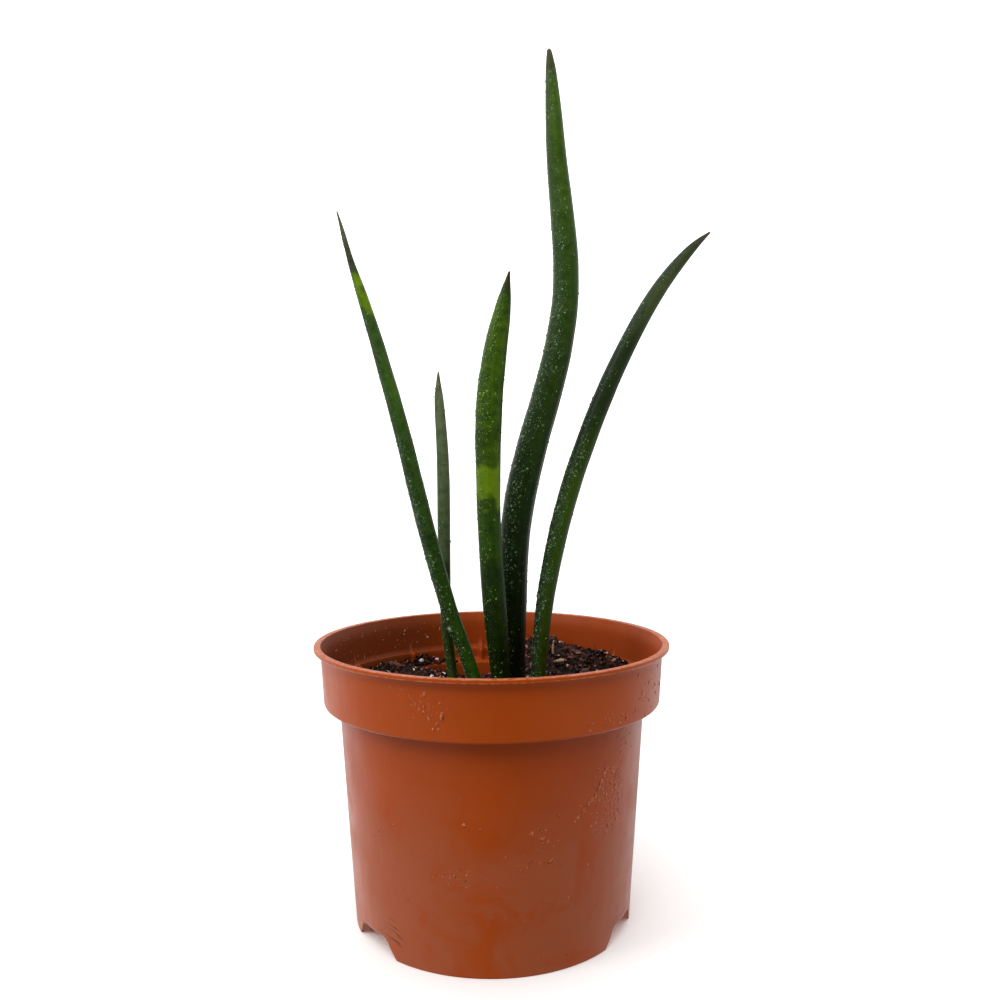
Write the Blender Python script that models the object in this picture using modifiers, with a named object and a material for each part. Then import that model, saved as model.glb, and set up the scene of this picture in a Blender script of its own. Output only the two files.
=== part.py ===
"""A potted snake plant: five cylindrical leaves that stand on one rhizome, rooted in potting mix,
in a terracotta-coloured plastic nursery pot with three feet.

Units are metres, +Z up. Lengths below are written in millimetres times MM.
The pot's axis is the axis of every radius and every leaf position, and the empty "plant_in_pot"
carries it: the object's own origin is the middle of its footprint, because one leaf reaches
out past the rim.
"""

import math
import random

import bmesh
import bpy
from mathutils import Matrix, Vector, noise

MM = 0.001
GAP = 0.3 * MM                # kept between pieces that touch

# Pot: heights above the ground, radii from the pot's axis
POT_HEIGHT = 93.6 * MM
LIP_RADIUS = 60.0 * MM
LIP_THICKNESS = 1.8 * MM      # both the lip's width and its height
COLLAR_TOP_RADIUS = 57.8 * MM
COLLAR_FOOT_RADIUS = 56.8 * MM
SHOULDER = 74.0 * MM          # underside of the shoulder
SHOULDER_ROUND = 1.1 * MM     # rounding of the collar's lower edge
BODY_TOP_RADIUS = 51.6 * MM
BODY_FOOT_RADIUS = 46.8 * MM
WALL = 1.3 * MM
SKIRT_WALL = 3.0 * MM         # thickness of the feet, below the floor
FLOOR_TOP = 10.0 * MM
FLOOR_UNDER = 8.5 * MM
LEDGE = 75.3 * MM             # top of the step inside the collar
MOULD_LINE = 79.6 * MM        # fine step round the inside of the collar
AROUND = 60                   # segments of a full turn

RIB_COUNT = 12
RIB_FIRST_DEG = 5.0           # direction of the first stacking rib, from +X
RIB_TOP = 81.8 * MM
RIB_REACH = 2.4 * MM          # how far a rib stands out from the collar's inside
RIB_THICKNESS = 1.2 * MM

NOTCH_DEG = (-25.8, 95.3, 216.5)    # directions of the three notches between the feet
NOTCH_HEIGHT = 5.4 * MM
NOTCH_FOOT_HALF_WIDTH = 11.1 * MM
NOTCH_TOP_HALF_WIDTH = 5.5 * MM

DRAIN_COUNT = 6
DRAIN_RADIUS = 3.0 * MM
DRAIN_CIRCLE = 30.0 * MM

# Potting mix: its general level, then hills and hollows as (x, y, spread, height)
MIX_LEVEL = 74.6 * MM
MIX_HILLS = (
    (16 * MM, 45 * MM, 13 * MM, 12.0 * MM),
    (42 * MM, 27 * MM, 13 * MM, 8.5 * MM),
    (-39 * MM, 28 * MM, 8.5 * MM, 5.6 * MM),
    (-4 * MM, 43 * MM, 8 * MM, -13.0 * MM),
    (10 * MM, -38 * MM, 22 * MM, 1.8 * MM),
)
MIX_ROUGHNESS = 1.1 * MM
MIX_SETTLED = 1.6 * MM        # how far the mix has sunk along the pot's wall
MIX_TOP_LIMIT = 87.0 * MM

# Leaves: points up the middle of each one, as (x, y, z, diameter) in millimetres. The first
# point stands on the rhizome, so its height is worked out from there.
ON_RHIZOME = None
LEAVES = {
    "leaf_left_outer": (
        (-2.0, -6.0, ON_RHIZOME, 4.6),
        (-5.8, -7.7, 82, 4.5),
        (-13.6, -8.5, 104, 5.3),
        (-21.3, -9.4, 132, 5.7),
        (-28.4, -10.4, 162, 5.4),
        (-36.1, -11.4, 191, 4.6),
        (-42.0, -12.1, 210.5, 3.4),
        (-45.0, -12.4, 220, 2.1),
        (-47.4, -12.7, 229.5, 1.4),
        (-49.2, -13.0, 236, 0.4),
    ),
    "leaf_left_small": (
        (-12.0, -2.0, ON_RHIZOME, 3.6),
        (-13.3, -1.5, 81, 3.5),
        (-15.2, -0.7, 96, 3.7),
        (-16.1, 1.0, 124, 4.3),
        (-16.2, 2.2, 148, 4.4),
        (-16.9, 3.1, 165, 3.9),
        (-17.7, 3.7, 177, 3.1),
        (-17.8, 4.1, 185.5, 0.5),
    ),
    "leaf_centre_front": (
        (4.5, -5.0, ON_RHIZOME, 6.6),
        (3.0, -6.8, 82, 6.4),
        (1.3, -7.4, 104, 8.0),
        (-0.3, -7.9, 128, 7.7),
        (-0.8, -8.4, 150, 8.2),
        (-0.4, -8.9, 171, 8.9),
        (1.6, -9.4, 190, 7.9),
        (3.7, -9.6, 201, 6.3),
        (5.4, -9.8, 210, 3.6),
        (6.6, -10.0, 217, 0.5),
    ),
    "leaf_centre_tall": (
        (8.0, 2.0, ON_RHIZOME, 8.0),
        (7.5, 2.8, 80, 8.2),
        (7.5, 3.2, 105, 9.4),
        (8.3, 3.6, 131, 10.4),
        (12.0, 3.9, 151, 10.7),
        (17.8, 4.2, 172, 10.2),
        (23.3, 4.5, 192.5, 9.7),
        (26.0, 4.8, 212, 9.0),
        (25.3, 5.1, 233, 8.4),
        (23.1, 5.4, 255, 7.1),
        (21.9, 5.7, 274, 5.6),
        (20.9, 5.9, 289, 3.4),
        (20.4, 6.0, 294.5, 1.4),
    ),
    "leaf_right": (
        (14.5, -7.0, ON_RHIZOME, 4.8),
        (15.7, -5.8, 82, 5.0),
        (17.3, -4.0, 101, 5.7),
        (20.7, -2.2, 121, 6.4),
        (25.7, -0.3, 141, 6.7),
        (32.6, 1.6, 161.5, 6.8),
        (41.1, 3.4, 182, 6.5),
        (51.4, 5.3, 202.5, 5.8),
        (57.9, 6.3, 213, 5.3),
        (65.9, 7.2, 223.3, 4.1),
        (71.5, 7.8, 229.2, 2.7),
        (76.5, 8.1, 233.3, 0.5),
    ),
}
LEAF_COLOURS = {
    "leaf_left_outer": (0.020, 0.075, 0.018),
    "leaf_left_small": (0.045, 0.080, 0.040),
    "leaf_centre_front": (0.060, 0.190, 0.010),
    "leaf_centre_tall": (0.012, 0.050, 0.014),
    "leaf_right": (0.022, 0.085, 0.012),
}

# Rhizome and roots, in the same millimetres
RHIZOME = (
    (-21.0, 0.0, 57.0, 3.0),
    (-17.0, -0.8, 55.5, 8.4),
    (-10.0, -2.4, 54.6, 10.4),
    (-2.0, -4.6, 54.4, 10.8),
    (6.0, -2.4, 54.4, 11.0),
    (14.0, -5.6, 54.8, 10.2),
    (20.0, -7.4, 56.0, 8.0),
    (24.5, -8.4, 58.0, 3.0),
)
ROOTS = (                     # (x on the rhizome, direction in degrees, reach, end height)
    (-15.0, 168, 22, 17),
    (-10.0, 238, 26, 24),
    (-5.0, 104, 30, 15),
    (1.0, 282, 31, 19),
    (7.0, 68, 33, 26),
    (12.0, 338, 27, 16),
    (17.0, 24, 20, 30),
)
RHIZOME_JOINT = 0.4           # space between the rhizome and what grows from it, in millimetres
ROOT_TOP_DIAMETER = 2.2 * MM
ROOT_TIP_DIAMETER = 0.9 * MM
ROOT_POINTS = 10

# Loose pieces on top: (x, y, height of the middle above what it lies on, turn in degrees, length,
# width, thickness). The second and third grains lie on the ledge inside the collar.
BARK_CHIPS = (
    (25.0, 23.4, 0.6, 12, 6.4, 3.2, 1.8),
    (23.0, 42.5, 0.4, 60, 6.0, 4.6, 3.6),
    (31.5, 27.0, 0.5, -8, 6.8, 4.0, 2.2),
    (33.0, 14.0, 0.4, 35, 5.6, 3.8, 2.4),
    (-36.0, 25.0, 0.5, -25, 7.4, 4.4, 2.4),
)
PERLITE = (
    (42.5, 27.0, 0.5, 0, 2.2, 2.0, 1.9),
    (-27.8, 44.5, 1.4, 20, 2.5, 2.0, 2.1),
    (-22.0, 47.7, 1.25, 70, 2.0, 1.7, 1.7),
    (-22.0, 22.0, 0.5, 40, 2.4, 2.0, 1.8),
    (30.0, -28.0, 0.4, 10, 2.8, 2.2, 2.0),
    (-18.0, -36.0, 0.4, 55, 2.4, 2.1, 1.8),
)
SLIVER_FOOT = (22.7, 30.0)
SLIVER_LENGTH = 7.0 * MM
SLIVER_DIAMETER = 0.9 * MM

# The leaf at the right reaches past the rim, so the pot stands this far left of the middle
FOOTPRINT_SHIFT = -8.4 * MM


# ---------------------------------------------------------------- scene and helpers

def clear_scene():
    for obj in list(bpy.data.objects):
        bpy.data.objects.remove(obj, do_unlink=True)


def new_collection(name):
    collection = bpy.data.collections.new(name)
    bpy.context.scene.collection.children.link(collection)
    return collection


def material(name, colour, roughness):
    made = bpy.data.materials.new(name)
    made.use_nodes = True
    shader = made.node_tree.nodes["Principled BSDF"]
    shader.inputs["Base Color"].default_value = (*colour, 1.0)
    shader.inputs["Roughness"].default_value = roughness
    shader.inputs["Metallic"].default_value = 0.0
    return made


def place(name, mesh, collection, parent, finish=None):
    obj = bpy.data.objects.new(name, mesh)
    collection.objects.link(obj)
    obj.parent = parent
    if finish is not None:
        mesh.materials.append(finish)
    return obj


def hide_helper(obj):
    obj.hide_render = True
    obj.display_type = "WIRE"


def shade_round(mesh, angle_deg=35):
    mesh.shade_smooth()
    mesh.set_sharp_from_angle(angle=math.radians(angle_deg))


def as_mesh(obj, collection, parent):
    """The curve object turned into a mesh object of the same name, its caps welded on."""
    name = obj.name
    bpy.context.view_layer.update()
    evaluated = obj.evaluated_get(bpy.context.evaluated_depsgraph_get())
    mesh = bpy.data.meshes.new_from_object(evaluated)
    where = obj.matrix_world.copy()
    bpy.data.objects.remove(obj, do_unlink=True)
    bm = bmesh.new()
    bm.from_mesh(mesh)
    bmesh.ops.remove_doubles(bm, verts=bm.verts, dist=0.001 * MM)
    bmesh.ops.recalc_face_normals(bm, faces=bm.faces)
    bm.to_mesh(mesh)
    bm.free()
    made = place(name, mesh, collection, parent)
    made.matrix_world = where
    return made


def turned(name, profile, collection, parent, finish=None):
    """A solid of revolution: its profile starts and ends on the axis, outer side running down."""
    mesh = bpy.data.meshes.new(name)
    points = [(r, 0.0, z) for r, z in profile]
    edges = [(i, i + 1) for i in range(len(points) - 1)]
    mesh.from_pydata(points, edges, [])
    obj = place(name, mesh, collection, parent, finish)
    screw = obj.modifiers.new("turn", "SCREW")
    screw.axis = "Z"
    screw.angle = math.tau
    screw.steps = AROUND
    screw.render_steps = AROUND
    screw.use_merge_vertices = True
    screw.merge_threshold = 0.00001
    screw.use_smooth_shade = True
    return obj


def plate(name, outline, thickness, collection, parent, direction_deg):
    """A flat plate that stands on edge: outline in (out, up), cut across the given direction."""
    curve = bpy.data.curves.new(name, "CURVE")
    curve.dimensions = "2D"
    curve.fill_mode = "BOTH"
    curve.extrude = thickness / 2
    spline = curve.splines.new("POLY")
    spline.points.add(len(outline) - 1)
    for point, (out, up) in zip(spline.points, outline):
        point.co = (out, up, 0.0, 1.0)
    spline.use_cyclic_u = True
    obj = bpy.data.objects.new(name, curve)
    collection.objects.link(obj)
    obj.parent = parent
    upright = Matrix.Rotation(math.radians(90), 4, "X")
    obj.matrix_local = Matrix.Rotation(math.radians(direction_deg), 4, "Z") @ upright
    return as_mesh(obj, collection, parent)


def rod(name, points, collection, parent, resolution=4, smooth=True):
    """A round solid of changing thickness through points of (x, y, z, diameter)."""
    curve = bpy.data.curves.new(name, "CURVE")
    curve.dimensions = "3D"
    curve.bevel_depth = 1.0
    curve.bevel_resolution = resolution
    curve.use_fill_caps = True
    curve.resolution_u = 2
    if smooth:
        spline = curve.splines.new("BEZIER")
        spline.bezier_points.add(len(points) - 1)
        spline.radius_interpolation = "CARDINAL"
        for point, (x, y, z, diameter) in zip(spline.bezier_points, points):
            point.co = (x, y, z)
            point.handle_left_type = "AUTO"
            point.handle_right_type = "AUTO"
            point.radius = diameter / 2
    else:
        spline = curve.splines.new("POLY")
        spline.points.add(len(points) - 1)
        for point, (x, y, z, diameter) in zip(spline.points, points):
            point.co = (x, y, z, 1.0)
            point.radius = diameter / 2
    obj = bpy.data.objects.new(name, curve)
    collection.objects.link(obj)
    obj.parent = parent
    return as_mesh(obj, collection, parent)


def boolean(obj, operation, collection):
    cut = obj.modifiers.new(f"{operation.lower()} {collection.name}", "BOOLEAN")
    cut.operation = operation
    cut.solver = "EXACT"
    cut.operand_type = "COLLECTION"
    cut.collection = collection


def room_for(obj, collection, parent):
    """A cutter of the same shape as the piece, a gap larger all round."""
    mesh = obj.data.copy()
    mesh.materials.clear()
    cutter = place(f"room_for_{obj.name}", mesh, collection, parent)
    cutter.matrix_world = obj.matrix_world
    swell = cutter.modifiers.new("swell", "DISPLACE")
    swell.mid_level = 0.0
    swell.strength = GAP * 1.2
    hide_helper(cutter)
    return cutter


def arc(centre_r, centre_z, radius, start_deg, end_deg, steps):
    """Points round part of a circle in the (r, z) plane."""
    turns = [math.radians(start_deg + (end_deg - start_deg) * i / steps) for i in range(steps + 1)]
    return [(centre_r + radius * math.cos(a), centre_z + radius * math.sin(a)) for a in turns]


# ---------------------------------------------------------------- pot

def body_radius(z):
    """Outer radius of the tapering body at a height."""
    return BODY_FOOT_RADIUS + (BODY_TOP_RADIUS - BODY_FOOT_RADIUS) * z / SHOULDER


def collar_inside(z):
    """Inner radius of the collar above the moulded line."""
    share = (z - MOULD_LINE) / (POT_HEIGHT - MOULD_LINE)
    foot = COLLAR_FOOT_RADIUS - WALL + 0.3 * MM
    top = COLLAR_TOP_RADIUS - WALL
    return foot + (top - foot) * share


def inside_profile(gap, top):
    """The hollow's profile from the floor's middle up to a height, moved in by a gap."""
    fillet = 2.0 * MM
    edge = 1.0 * MM
    corner = 1.2 * MM
    floor = FLOOR_TOP + gap
    ledge = LEDGE + gap
    foot_wall = body_radius(FLOOR_TOP + fillet) - WALL - gap
    step_wall = body_radius(LEDGE - edge) - WALL - gap
    collar_wall = COLLAR_FOOT_RADIUS - WALL - 0.2 * MM - gap
    points = [(0.0, floor)]
    points += arc(foot_wall - fillet, floor + fillet, fillet, -90, 0, 3)
    points += arc(step_wall + edge, ledge - edge, edge, 180, 90, 2)
    points += arc(collar_wall - corner, ledge + corner, corner, -90, 0, 2)
    points += [(collar_wall, MOULD_LINE - 0.3 * MM)]
    points += [(collar_inside(MOULD_LINE) - gap, MOULD_LINE)]
    points += [(collar_inside(top) - gap, top)]
    return points


def pot_profile():
    lip = LIP_THICKNESS / 2
    lip_middle = POT_HEIGHT - lip
    points = inside_profile(0.0, POT_HEIGHT - 1.6 * LIP_THICKNESS)
    points += arc(LIP_RADIUS - lip, lip_middle, lip, 180, 0, 6)
    points += [(LIP_RADIUS, POT_HEIGHT - 0.75 * LIP_THICKNESS)]
    points += [(LIP_RADIUS - 0.4 * lip, POT_HEIGHT - LIP_THICKNESS)]
    points += [(COLLAR_TOP_RADIUS + 0.4 * lip, POT_HEIGHT - LIP_THICKNESS)]
    points += [(COLLAR_TOP_RADIUS, POT_HEIGHT - 1.25 * LIP_THICKNESS)]
    edge = COLLAR_FOOT_RADIUS - SHOULDER_ROUND
    points += arc(edge, SHOULDER + SHOULDER_ROUND, SHOULDER_ROUND, 0, -90, 3)
    points += [(BODY_TOP_RADIUS + 0.6 * MM, SHOULDER)]
    points += [(BODY_TOP_RADIUS, SHOULDER - 0.8 * MM)]
    points += [(body_radius(0.5 * MM), 0.5 * MM)]
    points += [(BODY_FOOT_RADIUS - 0.5 * MM, 0.0)]
    points += [(BODY_FOOT_RADIUS - SKIRT_WALL + 0.3 * MM, 0.0)]
    points += [(BODY_FOOT_RADIUS - SKIRT_WALL, 0.3 * MM)]
    points += [(BODY_FOOT_RADIUS - SKIRT_WALL + 0.2 * MM, FLOOR_UNDER - 1.5 * MM)]
    points += [(BODY_FOOT_RADIUS - SKIRT_WALL - 1.3 * MM, FLOOR_UNDER)]
    points += [(0.0, FLOOR_UNDER)]
    return points


def rib_outline(clearance):
    """A stacking rib's side view: set in the collar wall, standing on the ledge, its top sloped."""
    wall = COLLAR_FOOT_RADIUS - 0.6 * WALL
    edge = collar_inside(MOULD_LINE) - RIB_REACH - clearance
    return [
        (wall, LEDGE - 0.6 * MM),
        (edge, LEDGE - 0.6 * MM),
        (edge, RIB_TOP - RIB_REACH + clearance),
        (collar_inside(RIB_TOP) - clearance, RIB_TOP + clearance),
        (wall, RIB_TOP + clearance),
    ]


def rib_directions():
    return [RIB_FIRST_DEG + 360 / RIB_COUNT * i for i in range(RIB_COUNT)]


def notch_outline():
    """A notch seen from outside: wide at the ground, sloped sides, rounded upper corners."""
    half = [(NOTCH_FOOT_HALF_WIDTH + 2.2 * MM, -3.0 * MM), (NOTCH_FOOT_HALF_WIDTH, 0.0)]
    half += [(NOTCH_TOP_HALF_WIDTH + 2.3 * MM, 0.80 * NOTCH_HEIGHT)]
    half += [(NOTCH_TOP_HALF_WIDTH + 1.2 * MM, 0.95 * NOTCH_HEIGHT)]
    half += [(NOTCH_TOP_HALF_WIDTH, NOTCH_HEIGHT)]
    return half + [(-across, up) for across, up in reversed(half)]


def make_pot(parts, parent):
    finish = material("terracotta_plastic", (0.42, 0.115, 0.038), 0.34)
    pot = turned("pot", pot_profile(), parts, parent, finish)
    ribs = new_collection("pot ribs")
    for i, direction in enumerate(rib_directions()):
        rib = plate(f"rib_{i + 1}", rib_outline(0.0), RIB_THICKNESS, ribs, parent, direction)
        hide_helper(rib)
    boolean(pot, "UNION", ribs)
    cuts = new_collection("pot cutters")
    for i, direction in enumerate(NOTCH_DEG):
        notch = plate(f"notch_{i + 1}", notch_outline(), 20 * MM, cuts, parent, direction + 90)
        outward = Vector((math.cos(math.radians(direction)), math.sin(math.radians(direction)), 0))
        notch.location += outward * BODY_FOOT_RADIUS
        hide_helper(notch)
    for i in range(DRAIN_COUNT):
        turn = math.tau * (i + 0.5) / DRAIN_COUNT
        bm = bmesh.new()
        bmesh.ops.create_cone(
            bm, cap_ends=True, segments=16, radius1=DRAIN_RADIUS, radius2=DRAIN_RADIUS, depth=8 * MM
        )
        mesh = bpy.data.meshes.new(f"drain_{i + 1}")
        bm.to_mesh(mesh)
        bm.free()
        drain = place(f"drain_{i + 1}", mesh, cuts, parent)
        drain.location = (DRAIN_CIRCLE * math.cos(turn), DRAIN_CIRCLE * math.sin(turn), FLOOR_TOP)
        hide_helper(drain)
    boolean(pot, "DIFFERENCE", cuts)


# ---------------------------------------------------------------- potting mix

def mix_height(x, y):
    """Height of the mix's surface above the ground."""
    height = MIX_LEVEL
    for hill_x, hill_y, spread, rise in MIX_HILLS:
        away = ((x - hill_x) ** 2 + (y - hill_y) ** 2) / (2 * spread**2)
        height += rise * math.exp(-away)
    lumps = noise.noise(Vector((x, y, 0)) * 180) + 0.6 * noise.noise(Vector((x, y, 1)) * 420)
    near_wall = min(max((math.hypot(x, y) - 43 * MM) / (7 * MM), 0.0), 1.0)
    height += MIX_ROUGHNESS * lumps * (1 - 0.8 * near_wall) - MIX_SETTLED * near_wall
    return min(height, MIX_TOP_LIMIT)


def ground_height(x, y):
    """Height of what a loose piece lies on: the mix, or the ledge where the mix is lower."""
    on_ledge = math.hypot(x, y) > body_radius(LEDGE) - WALL
    return max(mix_height(x, y), LEDGE) if on_ledge else mix_height(x, y)


def make_mix(parts, parent):
    """The filling of the pot's hollow, up to a rough surface, with room for what stands in it."""
    finish = material("potting_mix", (0.030, 0.018, 0.012), 0.95)
    profile = inside_profile(GAP, MIX_TOP_LIMIT + 1 * MM)
    profile.append((0.0, MIX_TOP_LIMIT + 1 * MM))
    mix = turned("potting_mix", profile, parts, parent, finish)
    shaping = new_collection("mix surface")
    bm = bmesh.new()
    bmesh.ops.create_grid(bm, x_segments=28, y_segments=28, size=LIP_RADIUS)
    top = bm.faces[:]
    grown = bmesh.ops.extrude_face_region(bm, geom=top)["geom"]
    upper = {v for v in grown if isinstance(v, bmesh.types.BMVert)}
    for vertex in bm.verts:
        if vertex in upper:
            vertex.co.z = mix_height(vertex.co.x, vertex.co.y)
        else:
            vertex.co.z = 5 * MM
    bmesh.ops.recalc_face_normals(bm, faces=bm.faces)
    mesh = bpy.data.meshes.new("mix_surface")
    bm.to_mesh(mesh)
    bm.free()
    surface = place("mix_surface", mesh, shaping, parent)
    hide_helper(surface)
    boolean(mix, "INTERSECT", shaping)
    return mix


# ---------------------------------------------------------------- plant

def rhizome_at(x):
    """Axis y, axis height and radius of the rhizome over an x, in millimetres."""
    for left, right in zip(RHIZOME, RHIZOME[1:]):
        if left[0] <= x <= right[0]:
            share = (x - left[0]) / (right[0] - left[0])
            y, z, diameter = (a + (b - a) * share for a, b in zip(left[1:], right[1:]))
            return y, z, diameter / 2
    raise ValueError("x is past the rhizome's ends")


def rhizome_top(x, half_width):
    """Highest point of the rhizome under a disc of this half width."""
    heights = [rhizome_at(x + step * half_width) for step in (-1, -0.5, 0, 0.5, 1)]
    return max(z + radius for _, z, radius in heights)


def rhizome_underside(x, half_width):
    """Lowest point of the rhizome over a disc of this half width."""
    heights = [rhizome_at(x + step * half_width) for step in (-1, -0.5, 0, 0.5, 1)]
    return min(z - radius for _, z, radius in heights)


def make_leaves(parts, parent):
    leaves = []
    for name, route in LEAVES.items():
        x, y, _, diameter = route[0]
        base = (x, y, rhizome_top(x, diameter / 2) + RHIZOME_JOINT, diameter)
        points = [tuple(value * MM for value in point) for point in (base, *route[1:])]
        leaf = rod(name, points, parts, parent)
        leaf.data.materials.append(material(name, LEAF_COLOURS[name], 0.42))
        shade_round(leaf.data)
        leaves.append(leaf)
    return leaves


def make_rhizome(parts, parent):
    points = [tuple(value * MM for value in point) for point in RHIZOME]
    rhizome = rod("rhizome", points, parts, parent)
    rhizome.data.materials.append(material("rhizome", (0.42, 0.25, 0.10), 0.7))
    shade_round(rhizome.data)
    return rhizome


def root_points(start_x, direction_deg, reach, end_z, phase):
    """A root leaves the rhizome's underside downwards and bends out, wavering as it goes."""
    start_y = rhizome_at(start_x)[0]
    top = rhizome_underside(start_x, ROOT_TOP_DIAMETER / 2 / MM) - RHIZOME_JOINT
    out = Vector((math.cos(math.radians(direction_deg)), math.sin(math.radians(direction_deg))))
    side = Vector((-out.y, out.x))
    points = []
    for i in range(ROOT_POINTS):
        t = i / (ROOT_POINTS - 1)
        away = reach * t**1.6
        waver = 2.4 * t * math.sin(7.0 * t + phase)
        spot = out * away + side * waver
        thick = ROOT_TOP_DIAMETER + (ROOT_TIP_DIAMETER - ROOT_TOP_DIAMETER) * t
        z = top + (end_z - top) * t
        points.append(((start_x + spot.x) * MM, (start_y + spot.y) * MM, z * MM, thick))
    return points


def make_roots(parts, parent):
    roots = []
    finish = material("root", (0.52, 0.30, 0.10), 0.75)
    for i, (x, direction, reach, end_z) in enumerate(ROOTS):
        points = root_points(x, direction, reach, end_z, phase=1.7 * i)
        root = rod(f"root_{i + 1}", points, parts, parent, resolution=2, smooth=False)
        root.data.materials.append(finish)
        shade_round(root.data, 60)
        roots.append(root)
    return roots


# ---------------------------------------------------------------- loose pieces on the mix

def lump(name, spot, collection, parent, finish, seed, detail):
    """An angular grain or chip: a sphere squeezed to size and knocked about."""
    x, y, lift, turn_deg, length, width, thickness = spot
    dice = random.Random(seed)
    bm = bmesh.new()
    bmesh.ops.create_icosphere(bm, subdivisions=detail, radius=0.5)
    for vertex in bm.verts:
        vertex.co *= dice.uniform(0.82, 1.0)
    stretch = Vector((length, width, thickness)) * MM
    bmesh.ops.scale(bm, vec=stretch, verts=bm.verts)
    mesh = bpy.data.meshes.new(name)
    bm.to_mesh(mesh)
    bm.free()
    obj = place(name, mesh, collection, parent, finish)
    x, y = x * MM, y * MM
    obj.location = (x, y, ground_height(x, y) + lift * MM)
    obj.rotation_euler = (dice.uniform(-0.25, 0.25), dice.uniform(-0.25, 0.25), math.radians(turn_deg))
    return obj


def make_loose_pieces(parts, parent):
    bark = material("bark", (0.16, 0.085, 0.045), 0.9)
    white = material("perlite", (0.75, 0.72, 0.66), 0.85)
    pale = material("pale_wood", (0.55, 0.38, 0.25), 0.8)
    pieces = []
    for i, spot in enumerate(BARK_CHIPS):
        pieces.append(lump(f"bark_chip_{i + 1}", spot, parts, parent, bark, seed=20 + i, detail=1))
    for i, spot in enumerate(PERLITE):
        pieces.append(lump(f"perlite_{i + 1}", spot, parts, parent, white, seed=50 + i, detail=1))
    x, y = SLIVER_FOOT[0] * MM, SLIVER_FOOT[1] * MM
    foot = mix_height(x, y) - 2 * MM
    points = [
        (x, y, foot, SLIVER_DIAMETER),
        (x - 0.1 * MM, y, foot + 0.5 * SLIVER_LENGTH, SLIVER_DIAMETER),
        (x + 0.2 * MM, y, foot + SLIVER_LENGTH, 0.5 * SLIVER_DIAMETER),
    ]
    sliver = rod("wood_sliver", points, parts, parent, resolution=2, smooth=False)
    sliver.data.materials.append(pale)
    pieces.append(sliver)
    bpy.context.view_layer.update()
    return pieces


# ---------------------------------------------------------------- assembly

def main():
    clear_scene()
    parts = new_collection("potted_snake_plant")
    axis = bpy.data.objects.new("plant_in_pot", None)
    parts.objects.link(axis)
    axis.location.x = FOOTPRINT_SHIFT
    bpy.context.view_layer.update()
    make_pot(parts, axis)
    mix = make_mix(parts, axis)
    standing = make_leaves(parts, axis)
    standing.append(make_rhizome(parts, axis))
    standing += make_roots(parts, axis)
    standing += make_loose_pieces(parts, axis)
    rooms = new_collection("mix cutters")
    for piece in standing:
        room_for(piece, rooms, axis)
    for i, direction in enumerate(rib_directions()):
        wide = RIB_THICKNESS + 2 * GAP
        hide_helper(plate(f"room_for_rib_{i + 1}", rib_outline(GAP), wide, rooms, axis, direction))
    boolean(mix, "DIFFERENCE", rooms)


main()
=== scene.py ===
"""The looks of the potted snake plant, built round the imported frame: a satin plastic nursery pot with
its ribs and notched foot, damp bark compost, and five misted cylindrical leaves.

Everything is in metres in the frame's own axes. Sizes written in millimetres are multiplied by MM.
"""

import math
import random
from contextlib import contextmanager

import bmesh
import bpy
import numpy as np
from mathutils import Matrix, Vector, noise
from mathutils.bvhtree import BVHTree


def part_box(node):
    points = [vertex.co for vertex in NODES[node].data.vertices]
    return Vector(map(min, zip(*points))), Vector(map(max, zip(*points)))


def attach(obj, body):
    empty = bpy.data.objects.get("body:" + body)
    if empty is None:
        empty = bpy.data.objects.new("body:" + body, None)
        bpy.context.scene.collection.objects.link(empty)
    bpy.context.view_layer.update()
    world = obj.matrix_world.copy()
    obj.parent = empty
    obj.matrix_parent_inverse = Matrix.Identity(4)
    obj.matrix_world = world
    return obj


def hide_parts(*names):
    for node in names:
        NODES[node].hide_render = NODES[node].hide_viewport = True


MM = 0.001
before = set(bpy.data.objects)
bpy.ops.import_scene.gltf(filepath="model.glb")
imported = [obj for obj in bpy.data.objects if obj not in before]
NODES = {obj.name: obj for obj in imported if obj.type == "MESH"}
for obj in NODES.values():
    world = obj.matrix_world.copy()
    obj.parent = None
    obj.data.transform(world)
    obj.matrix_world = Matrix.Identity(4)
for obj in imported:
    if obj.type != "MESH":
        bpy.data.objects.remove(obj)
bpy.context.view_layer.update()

# The pot's own frame: its axis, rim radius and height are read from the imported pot.
POT_LOW, POT_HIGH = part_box("pot")
AXIS = Vector(((POT_LOW.x + POT_HIGH.x) / 2, (POT_LOW.y + POT_HIGH.y) / 2, 0))
RIM_RADIUS = (POT_HIGH.x - POT_LOW.x) / 2
POT_HEIGHT = POT_HIGH.z

# Pot sections, in millimetres
LIP_THICKNESS = 1.3
LIP_WIDTH = 2.4
LIP_ROUND = 0.28
COLLAR_TOP_RADIUS = 57.8
COLLAR_FOOT_RADIUS = 56.8
SHOULDER = 74.0
SHOULDER_ROUND = 1.1
BODY_TOP_RADIUS = 51.6
BODY_FOOT_RADIUS = 46.8
WALL = 1.3
SKIRT_WALL = 3.0
SKIRT_TOP = 9.0
FLOOR_TOP = 10.0
FLOOR_UNDER = 8.5
LEDGE = 75.3
MOULD_LINE = 79.6
RIB_DEG = [5 + 30 * i for i in range(12)]
RIB_TOP = 81.8
RIB_REACH = 2.4
RIB_CIRCLE = 54.0             # the radius at which a rib's thickness is measured
NOTCH_DEG = (-25.8, 95.3, 216.5)
NOTCH_HEIGHT = 5.4
NOTCH_ACROSS = (5.4, 6.4, 7.9, 11.3, 11.6)     # a notch's flank, out from its middle
NOTCH_LIFT = (NOTCH_HEIGHT, 5.15, 4.3, 0.25, 0.0)
DRAIN_DEG = [30 + 60 * i for i in range(6)]
DRAIN_RADIUS = 3.0
DRAIN_CIRCLE = 30.0
DRAIN_DEPTH = 8.0

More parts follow.
